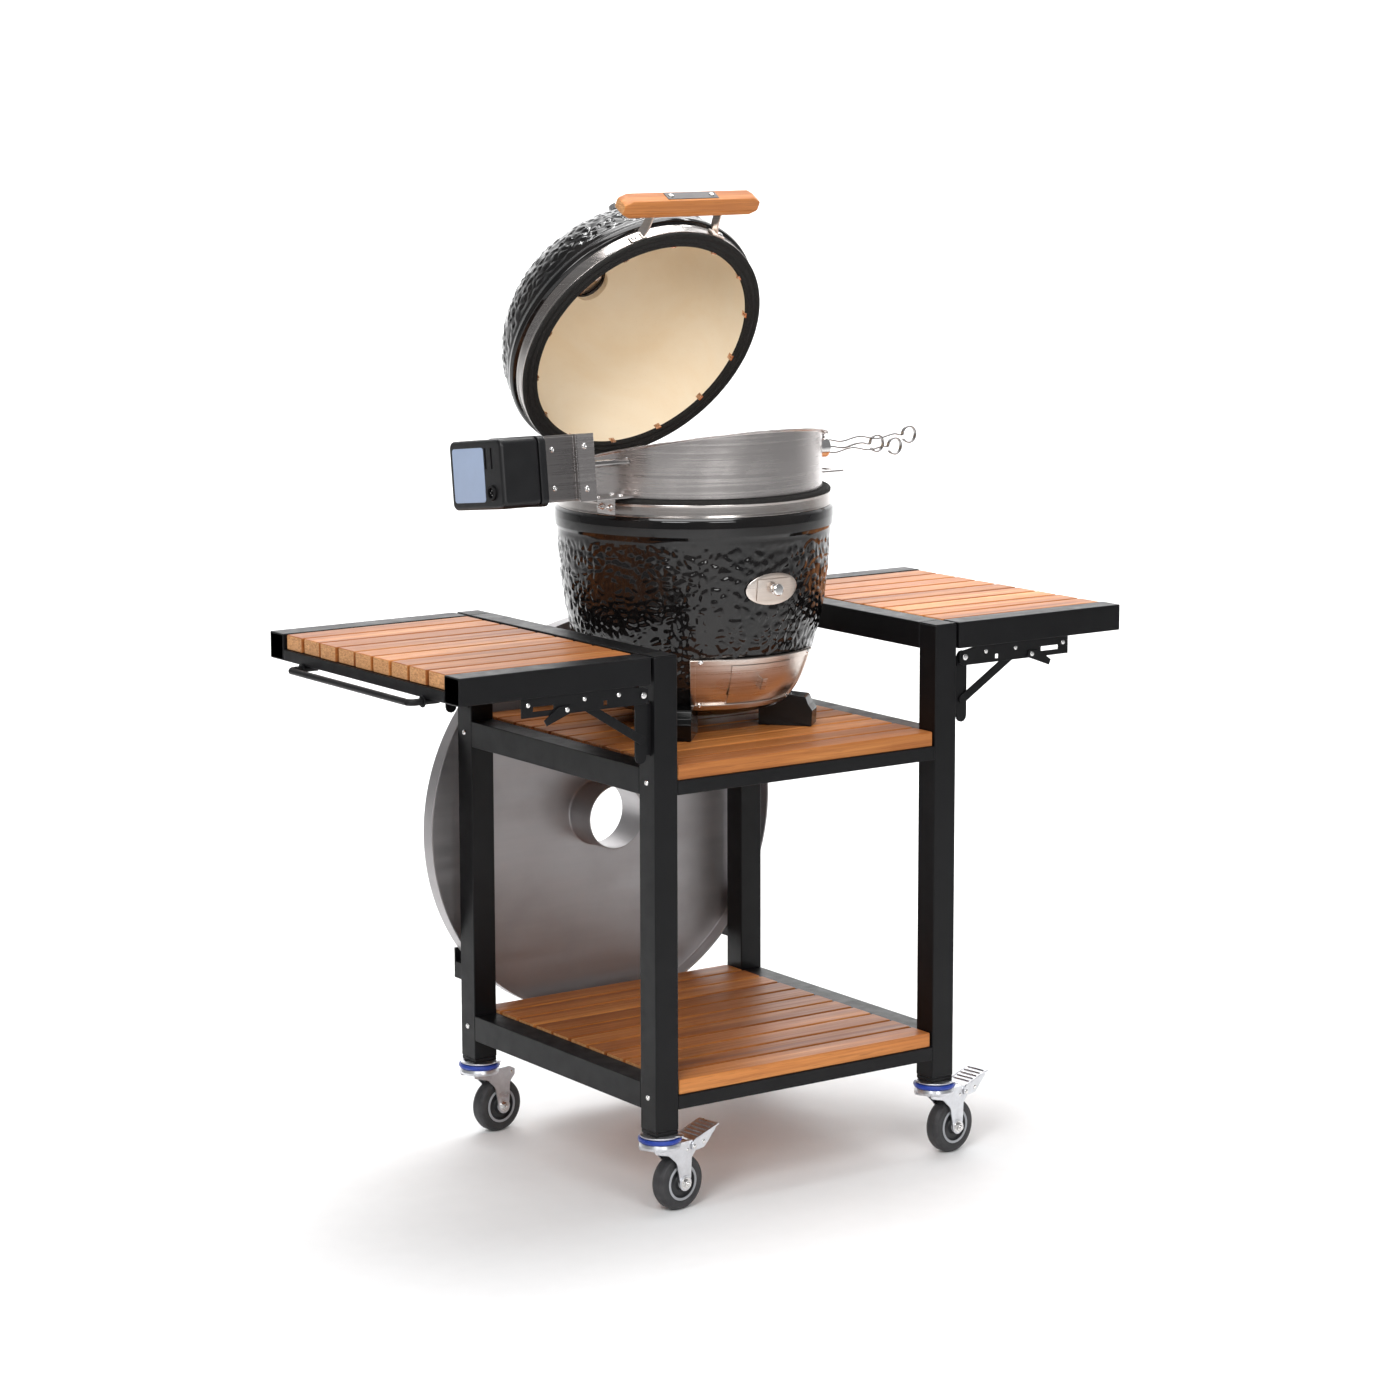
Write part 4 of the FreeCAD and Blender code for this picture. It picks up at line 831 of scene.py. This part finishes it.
def fittings():
    frame_sheet = wall_sheet(708, 788, -37, 37, 0.4, 2.0)
    window = prism(rounded([(-50, 728, 6), (50, 728, 6), (50, 770, 6), (-50, 770, 6)]), 60, 230)
    bmesh.ops.transform(window, matrix=turn(90, "X"), verts=window.verts)
    frame_sheet = carve(frame_sheet, [window])
    for low, high in ((708, 717), (779, 788)):
        join(frame_sheet, wall_sheet(low, high, -37, 37, 1.0, 5.0, 1.0))
    for first in (-37, 34.4):
        join(frame_sheet, wall_sheet(709, 787, first, first + 2.6, 1.0, 4.4, 0.8, 4))
    heads = bmesh.new()
    for angle in (-32, 32):
        for z in (713, 783.5):
            r = wall_at(z) + 4.6
            tilt = turn(angle, "Z") @ shift(0, -r, z) @ turn(90 + (22 if z < 740 else 14), "X")
            join(heads, screw(4.0, 2.0), tilt)
    piece("draft_frame", frame_sheet, DOOR_STEEL, "cart", ["draft_door_frame"], BODY)
    piece("draft_frame_screws", heads, BRIGHT, "cart", (), BODY)

    door = wall_sheet(718.5, 777.5, -17, 17, 2.4, 3.8, 0.4, 30)
    pull = bar((0, -12, -9), (1.6, 0.3, 9), 0.5)
    join(pull, bar((0, -12, -9), (9, -10.4, 9), 0.5))
    join(door, pull, turn(-2, "Z") @ shift(0, -wall_at(750) - 3.6, 750) @ turn(22, "X"))
    piece("draft_slide", door, DOOR_STEEL, "draft", ["draft_door"], BODY)

    count = 72
    oval = bmesh.new()
    outer, inner = [], []
    for k in range(count):
        a = 2 * math.pi * k / count
        for store, rx, rz in ((outer, 46, 24), (inner, 44.6, 22.6)):
            u, z = rx * math.cos(a), 891 + rz * math.sin(a)
            store.append((u, z))

    def on_wall(u, z, offset):
        r = wall_at(z) + offset
        return (u, -math.sqrt(max(r * r - u * u, 0)), z)
    loops = [[oval.verts.new(on_wall(u, z, off)) for u, z in ring]
             for ring, off in ((outer, 0.3), (outer, 1.6), (inner, 2.3))]
    scaled = [[oval.verts.new(on_wall(u * f, 891 + (z - 891) * f, 2.3)) for u, z in inner] for f in (0.85, 0.7, 0.56)]
    loops += scaled
    for one, two in zip(loops, loops[1:]):
        for k in range(count):
            oval.faces.new((one[k], one[(k + 1) % count], two[(k + 1) % count], two[k]))
    back = [oval.verts.new(on_wall(u * 0.56, 891 + (z - 891) * 0.56, 0.4)) for u, z in inner]
    for one, two in ((loops[-1], back), (back, loops[0])):
        for k in range(count):
            oval.faces.new((one[k], one[(k + 1) % count], two[(k + 1) % count], two[k]))
    bmesh.ops.recalc_face_normals(oval, faces=oval.faces)
    piece("feeder_oval", oval, DOOR_STEEL, "cart", ["feeder_plate"], BODY, 40)
    shutter = wall_sheet(875, 907, -8.2, 8.2, 2.8, 4.0, 0.3, 16)
    knob = lathe(rounded([(0, 0), (7.5, 0, 0.8), (7.5, 1.6, 0.8), (3.6, 2.6, 1.5), (3.6, 6, 1.5), (8.6, 8.2, 1.6),
                          (9, 11.2, 1.4), (7, 12.6, 1.5), (0, 13.2)], False, 4), 48, False)
    join(shutter, knob, shift(0, -wall_at(891) - 3.8, 891) @ turn(90, "X"), 1)
    piece("feeder_slide", shutter, [DOOR_STEEL, BRIGHT], "feeder", ["feeder_shutter"], BODY)
    carried("fire_box", CLAY, 0.0012)
    carried("charcoal_grate", IRON, 0.0008)


# ---------------------------------------------------------------- lid
def dome_line(radius, height, start, steps, stop=0.9):
    out = []
    for i in range(steps + 1):
        a = math.pi / 2 * stop * i / steps
        out.append((radius * math.cos(a), start + (height - start) * math.sin(a)))
    return out


def lid():
    bead = rounded([(182, 6), (206.3, 6), (206.3, 25.8), (207.4, 26.2, 1), (212.2, 29, 4), (213.4, 36, 6),
                    (211.2, 42, 4), (209.4, 44.5, 1.5), (208.4, 49)], False, 5)
    outside = dome_line(209, 195, 44, 112)
    profile = bead[:-1] + outside[2:] + [(30.9, 182), (28.5, 169.3)] + dome_line(182, 171, 36, 30)[::-1][1:]
    bm = lathe(profile, 560)
    pebble(bm, lambda p: (ease_in(p.z, 50, 60) * ease_in(math.hypot(p.x, p.y), 40, 52)
                          if (math.hypot(p.x, p.y) / 194) ** 2 + ((max(p.z, 44) - 44) / 138) ** 2 > 1 else 0),
           1.8, shift(90, 40, 300))
    for face in bm.faces:
        c = face.calc_center_median()
        r = math.hypot(c.x, c.y)
        if (r / 191) ** 2 + (max(c.z - 36, 0) / 146) ** 2 < 1 and c.z > 6.5:
            face.material_index = 1
    piece("dome", bm, [GLAZE, CREAM], "lid", ["lid_shell"], LID, 60, False)
    band = lathe(rounded([(206.5, 6.2), (207.2, 6.0, 0.4), (207.5, 7, 0.3), (207.0, 10, 1), (207.0, 22, 1),
                          (207.5, 25, 0.3), (207.2, 25.9, 0.4), (206.5, 25.8)], True, 3), 256)
    piece("dome_band", band, BAND_STEEL, "lid", ["lid_band"], LID)
    ridges = [(183, 5.9), (183.2, 2.4, 1), (186, 0.9, 1.2), (190, 2.0, 1.2), (193.5, 0.3, 1.5), (198, 2.2, 1.2),
              (203, 0.6, 1.4), (206.9, 2.0, 1), (207.2, 5.9)]
    piece("dome_gasket", lathe(rounded(ridges, True, 4), 200), FELT, "lid", ["lid_gasket"], LID)
    clips = bmesh.new()
    for k in range(14):
        clip = bar((181.2, -4.5, 3.5), (182.6, 4.5, 12), 0.4)
        join(clip, bar((181.4, -4.5, 2.2), (187, 4.5, 3.6), 0.4))
        join(clip, tube([(181.8, 0, 10), (179.6, 0, 7), (180.2, 0, 3.6)], 0.9, 8))
        join(clips, clip, turn(360 / 14 * (k + 0.4), "Z"))
    piece("gasket_clips", clips, COPPER, "lid", (), LID)

    for node, material in (("vent_base", DOOR_STEEL), ("vent_cap", DOOR_STEEL)):
        carried(node, material, 0.0006)
    gauge = lathe(rounded([(0, -3), (10.5, -3), (10.5, 1, 1), (9.2, 3, 1), (9.2, 7.2), (0, 7.2)], False, 4), 48, False)
    join(gauge, lathe(rounded([(0, 7.2), (12.4, 7.2, 1), (14.5, 9, 1), (14.5, 16.4, 1.2), (13.2, 18.6, 1.2),
                               (11.8, 18.0, 0.6), (0, 17.6)], False, 5), 64, False), None, 1)
    piece("dome_gauge", gauge, [IRON, BRIGHT], "lid", ["thermometer"],
          LID @ shift(0, -136, 158.8) @ turn(31.8, "X"))

    half, deep = 124, 15
    outline = [(-half, -deep + 7), (-half + 14, -deep), (half - 14, -deep), (half, -deep + 7), (half, deep - 7),
               (half - 14, deep), (-half + 14, deep), (-half, deep - 7)]
    grip = prism(outline, -13, 13, 4.0, 2)
    place = LID @ shift(0, -252, 14)
    groove = bar((-half - 5, deep - 9.2, -16), (half + 5, deep - 7.8, -12.2), 0.1)
    grip = carve(grip, [groove])
    layer = grip.verts.layers.float.new("tone")
    for v in grip.verts:
        v[layer] = 0.78
    piece("handle_bar", grip, WOOD, "lid", ["handle_grip"], place, 30)
    metalwork = bar((-46, -deep - 1.0, -8.5), (46, -deep + 0.4, 8.5), 0.4)
    for x in (-37, 37):
        join(metalwork, screw(4.4, 2.0), shift(x, -deep - 0.9, 0) @ turn(90, "X"), 1)
    for side in (-1, 1):
        x = 62 * side
        strap = smooth_line([(0, deep - 2), (0, deep + 6), (1.5 * side, deep + 24), (6 * side, deep + 35)], 3)
        rod = tube([(x + u, v, 0) for u, v in strap], 1, 8, (3.0, 17))
        join(metalwork, rod, None, 2)
        angle = math.degrees(math.asin(72 / 207.5))
        flap = prism(rounded([(-13, -8, 2), (13, -8, 2), (13, 8, 2), (-13, 8, 2)]), 0, 2.4, 0.4)
        flap_place = shift(0, 252, 0) @ turn(angle * side, "Z") @ shift(0, -207.6, 0) @ turn(90, "X")
        join(metalwork, flap, flap_place, 2)
        join(metalwork, screw(4.6, 2.6), flap_place @ shift(7 * side, 0, 2.2), 1)
    piece("handle_fittings", metalwork, [INLAY, BRIGHT, DOOR_STEEL], "lid", ["handle_brackets"], place)


# ---------------------------------------------------------------- hinge
def coil(radius, wire, first, last, turns):
    steps = int(turns * 20)
    path = []
    for k in range(steps + 1):
        a = 2 * math.pi * turns * k / steps
        path.append((first + (last - first) * k / steps, radius * math.cos(a), radius * math.sin(a)))
    return tube(path, wire, 10)


def hinge():
    rise = HINGE.z
    bm = bmesh.new()
    for x in (-52, 47):
        ear = prism(rounded([(233.5, -(rise - 22), 3), (277, -(rise - 22), 9), (277, -(rise + 8), 9),
                             (233.5, -(rise + 8), 3)]), x, x + 5, 0.6)
        join(bm, ear, Matrix(((0, 0, 1, 0), (1, 0, 0, 0), (0, -1, 0, 0), (0, 0, 0, 1))))
    join(bm, bar((-52, 232.7, rise - 7), (52, 235.7, rise + 11), 0.8))
    join(bm, tube([(-56, 270, rise), (56, 270, rise)], 5, 32))
    for x, aim in ((-56, -90), (56, 90)):
        join(bm, screw(7.5, 3.0, "rivet"), shift(x - (0.5 if aim > 0 else -0.5), 270, rise) @ turn(aim, "Y"), 1)
    for first in (-33, 5):
        join(bm, coil(7.6, 1.4, first + 1.5, first + 26.5, 8.5), shift(0, 270, rise), 1)
    for x in (-36, 36):
        join(bm, screw(4.2, 2.2), shift(x, 235.7, rise + 2) @ turn(-90, "X"), 1)
    piece("hinge_block", bm, [BAND_STEEL, BRIGHT], "cart", ["hinge_base"])
    carried("hinge_lid_arms", BAND_STEEL, 0.0008)


# ---------------------------------------------------------------- rotisserie
def rim_plane(y, drop=0.0):
    """Height of the ring's sloping rim, or of a plane that much under it, at a depth y."""
    return HINGE.z + (17.6 - drop) / math.cos(SLOPE) + (HINGE.y - y) * math.tan(SLOPE)


def ring():
    top = 2000
    profile = rounded([(175, 1002, 0.6), (177, 1002, 0.6), (177, 1026.1), (194, 1026.1, 0.8), (194, top - 2, 1.2),
                       (204, top - 2, 0.7), (204, top, 0.7), (192, top, 1.6), (192, 1028.1, 1.2), (175, 1028.1, 1.5)],
                      True, 4)
    wall = lathe(profile, 288)
    for v in wall.verts:
        if v.co.z > 1500:
            v.co.z = rim_plane(v.co.y + BODY_Y) + v.co.z - top
    bmesh.ops.transform(wall, matrix=BODY, verts=wall.verts)
    y, z = SPIT.y, SPIT.z
    holes = [tube([(-282, y, z), (-122, y, z)], 6.3, 32), tube([(100, y, z), (214, y, z)], 16.7, 48)]
    wall = carve(wall, holes)

    tab = carve(prism(rounded([(191, -1, 1), (270, -1, 9), (270, 51, 9), (191, 51, 1)]), 1032, 1035, 0.7),
                [prism(rounded([(220, 11, 7), (256, 11, 7), (256, 39, 7), (220, 39, 7)]), 1030, 1037)])
    join(wall, tab)
    strap = prism(rounded([(-261.6, -77, 3), (-178.5, -77, 1), (-172.5, -33, 1), (-261.6, -33, 3)]), 1029, 1032, 0.7)
    join(wall, strap)
    join(wall, prism(rounded([(-214, -77, 0.8), (-211, -77, 0.8), (-211, -33, 0.8), (-214, -33, 0.8)]), 1006, 1030, 0.6))
    channel = rounded([(-290, -98, 0.8), (-262, -98, 3), (-259, -98, 3), (-259, -12, 3), (-290, -12, 0.8),
                       (-290, -15, 0.8), (-262, -15, 1), (-262, -95, 1), (-290, -95, 0.8)], True, 4)
    channel.remove(channel[0])
    holder = carve(prism(channel, 1028, 1126, 0.5), [tube([(-300, y, z), (-230, y, z)], 6.3, 32)])
    join(wall, holder, LEAN)
    piece("wedge_ring", wall, RING_STEEL, "cart", ["rotisserie_ring"], None, 34)

    bolts = bmesh.new()
    for x, depth in ((-236, -66), (-236, -44), (-196, -66), (-196, -44)):
        join(bolts, screw(4.4, 2.6), shift(x, depth, 1031.9))
    for depth in (-66, -44):
        join(bolts, screw(4.2, 3.0, "hex"), shift(-214, depth, 1016) @ turn(-90, "Y"))
    for side in (-1, 1):
        for height in (1046, 1108):
            join(bolts, screw(4.4, 2.4), LEAN @ shift(-276, -55 + side * 42.8, height) @ turn(-90 * side, "X"))
    join(bolts, screw(4.0, 2.0), shift(205, 6, 1034.8))
    piece("ring_bolts", bolts, BRIGHT, "cart")


def spit():
    y, z = SPIT.y, SPIT.z
    drive = carve(tube([(-388, y, z), (-148, y, z)], 5.5, 40), [tube([(-205, y, z - 10), (-205, y, z + 10)], 1.8, 16)])
    collar = lathe(rounded([(5.4, 0), (8.4, 0, 0.6), (8.4, 7, 0.6), (5.4, 7)]), 40)
    join(drive, collar, shift(-157, y, z) @ ALONG_X)
    join(drive, tube([(-150, y, z), (180, y, z)], 3, 24))
    for x in (-146, 166):
        hub = lathe(rounded([(3, 0), (15.4, 0, 0.8), (16.3, 1.4, 0.6), (16.3, 20.6, 0.6), (15.4, 22, 0.8), (3, 22)],
                            True, 3), 72)
        join(hub, lathe(rounded([(16.2, 6.4), (16.3, 6.4), (16.3, 8), (16.2, 8)]), 24))
        join(drive, hub, shift(x, y, z) @ ALONG_X, 1)
    piece("spit_drive_rod", drive, [SPIT_STEEL, BRIGHT], "spit", ["spit_drive"])
    blades = bmesh.new()
    for angle, end in ((60, 342), (180, 268), (300, 314)):
        at_y = y + 9.5 * math.cos(math.radians(angle))
        at_z = z + 9.5 * math.sin(math.radians(angle))
        path, twist = [], []
        count = 180
        for k in range(count + 1):
            x = -144 + (144 + end - 2) * k / count
            free = ease_in(x, -122, -108) * (1 - ease_in(x, 150, 164)) + ease_in(x, 190, 202) * (1 - ease_in(x, end - 16, end - 4))
            path.append((x, at_y + 0.5 * free * math.sin(x / 8 + angle), at_z + (1.2 if x < 180 else 2.6) * free * math.sin(x / 11 + angle)))
            inside = max(0.0, min(x, 158) + 115) / 273
            twist.append(2 * math.pi * 3 * max(0.0, min(1.0, inside)))
        join(blades, tube(path, 1, 8, (6, 2), twist))
        loop = []
        for k in range(45):
            a = math.radians(180 - 330 * k / 44)
            loop.append((end + 11.5 + 12.5 * math.cos(a), at_y, at_z + 12.5 * math.sin(a)))
        join(blades, tube(loop, 1, 8, (6, 2)))
    piece("skewer_blades", blades, SPIT_STEEL, "spit", ["skewers"])


def motor():
    case = prism(rounded([(-126, 1027, 11), (16, 1027, 11), (16, 1127, 11), (-126, 1127, 11)], True, 8), -436, -372, 6, 5)
    across = Matrix(((0, 0, 1, 0), (1, 0, 0, 0), (0, 1, 0, 0), (0, 0, 0, 1)))
    bmesh.ops.transform(case, matrix=across, verts=case.verts)
    room = bar((-433, -123, 1030), (-360, 13, 1124), 0.2)
    slots = [bar((-440, low, 1085), (-428, low + 4, 1115), 0.2) for low in (-101, -85)]
    socket = tube([(-440, -96, 1051), (-428, -96, 1051)], 11.5, 48)
    case = carve(case, [room, socket] + slots)
    label = prism(rounded([(-78, 1038, 5), (6, 1038, 5), (6, 1116, 5), (-78, 1116, 5)], True, 4), -436.6, -435.8, 0.2)
    join(case, label, across, 1)
    piece("motor_housing", case, [SHELL, LABEL, BRIGHT], "cart", ["motor_case"], LEAN)
    cover = prism(rounded([(-127, 1026, 12), (17, 1026, 12), (17, 1128, 12), (-127, 1128, 12)], True, 8), -372, -360, 2.2, 3)
    bmesh.ops.transform(cover, matrix=across, verts=cover.verts)
    room = bar((-376, -123, 1030), (-364, 13, 1124), 0.2)
    cover = carve(cover, [room, tube([(-380, -55, 1080), (-350, -55, 1080)], 6.3, 32)])
    piece("motor_lid", cover, SHELL, "cart", ["motor_cover"], LEAN)
    inlet = lathe(rounded([(0, 6), (7.5, 6), (7.5, 0, 0.6), (11.4, 0, 0.8), (11.4, 18), (0, 18)], False, 3), 56, False)
    for u, v in ((-3.2, 0), (3.2, 0), (0, 3.6)):
        join(inlet, tube([(u, v, 6), (u, v, 2.2)], 0.9, 12), None, 1)
    piece("inlet", inlet, [CAP, BRIGHT], "cart", ["power_inlet"],
          LEAN @ shift(-439, -96, 1051) @ ALONG_X)
    carried("gearmotor", ZINC, 0.0006)
    carried("motor_bracket", FOLDED_STEEL, 0.0008)
    bolts = bmesh.new()
    for yy in (-82, -28):
        for zz in (1046, 1112):
            join(bolts, screw(4.4, 2.4), shift(-293, yy, zz) @ turn(-90, "Y"))
    for side in (-1, 1):
        for zz in (1050, 1106):
            join(bolts, screw(4.0, 2.2), shift(-330, -55 + side * 39.9, zz) @ turn(-90 * side, "X"))
    piece("bracket_bolts", bolts, BRIGHT, "cart", (), LEAN)


# ---------------------------------------------------------------- heat plate
def heat_plate():
    profile = rounded([(50, 0), (322, 0, 2.4), (322, 26, 0.8), (319, 26, 0.8), (319, 3, 1.6), (52, 3, 3), (52, 60, 0.8),
                       (50, 60, 0.8)], True, 4)
    disc = lathe(profile, 256)
    piece("heat_disc", disc, PLATE_STEEL, "heat_plate", ["fire_plate"],
          shift(0, 299, 478) @ turn(90, "X"))
    carried("plate_hooks", BLACK, 0.0006)


cart()
carried("bracket_leaves", BLACK, 0.0005)
for side_name, side_sign in (("left", -1), ("right", 1)):
    shelf(side_name, side_sign)
towel_rail()
for spot, (spot_x, spot_y) in SPOTS.items():
    castor(spot, spot_x, spot_y)
castor_tops()
bowl()
fittings()
lid()
hinge()
ring()
spit()
motor()
heat_plate()


# ---------------------------------------------------------------- floor, light and camera
def ground():
    line = [(-9, 0), (2.4, 0)]
    line += [(2.4 + 2.4 * math.sin(math.pi / 48 * k), 2.4 - 2.4 * math.cos(math.pi / 48 * k)) for k in range(1, 25)]
    line.append((4.8, 9))
    aim = Matrix.Rotation(-YAW, 4, "Z")
    bm = bmesh.new()
    rows = [[bm.verts.new(aim @ Vector((side, depth, height))) for side in (-12, 12)] for depth, height in line]
    for one, two in zip(rows, rows[1:]):
        bm.faces.new((one[0], one[1], two[1], two[0]))
    mesh = bpy.data.meshes.new("floor")
    bm.to_mesh(mesh)
    bm.free()
    mesh.shade_smooth()
    made = bpy.data.objects.new("floor", mesh)
    bpy.context.scene.collection.objects.link(made)
    mesh.materials.append(plain("pale_floor", (0.9, 0.9, 0.9), 0.75, 0.01, 200, 0.02, Specular_IOR_Level=0.2))


def lamp(name, place, target, size, power, tint=(1, 1, 1)):
    light = bpy.data.lights.new(name, "AREA")
    light.shape = "RECTANGLE"
    light.size, light.size_y = size
    light.energy = power
    light.color = tint
    made = bpy.data.objects.new(name, light)
    bpy.context.scene.collection.objects.link(made)
    made.matrix_world = Matrix.Translation(place) @ (Vector(target) - Vector(place)).to_track_quat("-Z", "Y").to_matrix().to_4x4()


YAW, PITCH, ROLL = math.radians(34.15), math.radians(9.21), math.radians(-0.28)
ground()
world = bpy.data.worlds.new("studio")
bpy.context.scene.world = world
world.use_nodes = True
world.node_tree.nodes["Background"].inputs["Color"].default_value = (0.97, 0.98, 1.0, 1)
world.node_tree.nodes["Background"].inputs["Strength"].default_value = 0.24
lamp("key", (-3.2, -2.6, 3.4), (0, 0, 0.7), (1.6, 2.4), 120)
lamp("fill", (-0.9, -4.4, 2.6), (0, 0, 0.9), (1.6, 2.0), 75)
lamp("top", (0.2, 0.2, 4.4), (0, 0, 0), (2.4, 2.4), 100)
lamp("wash", (1.4, 1.6, 4.6), (3.0, 4.4, 1.2), (4.0, 1.5), 260)
bpy.context.scene.view_settings.view_transform = "Standard"

lens = bpy.data.cameras.new("camera")
lens.lens = 96.0
lens.sensor_width = 36.0
lens.shift_x, lens.shift_y = 0.0435, -0.027
lens.clip_end = 60
eye = bpy.data.objects.new("camera", lens)
bpy.context.scene.collection.objects.link(eye)
way = Vector((math.sin(YAW) * math.cos(PITCH), math.cos(YAW) * math.cos(PITCH), -math.sin(PITCH)))
look = way.to_track_quat("-Z", "Y").to_matrix().to_4x4() @ Matrix.Rotation(ROLL, 4, "Z")
eye.matrix_world = Matrix.Translation(TO_ROW @ Vector((-3225.6, -4580.6, 1666.6))) @ look
bpy.context.scene.camera = eye

bpy.context.view_layer.update()
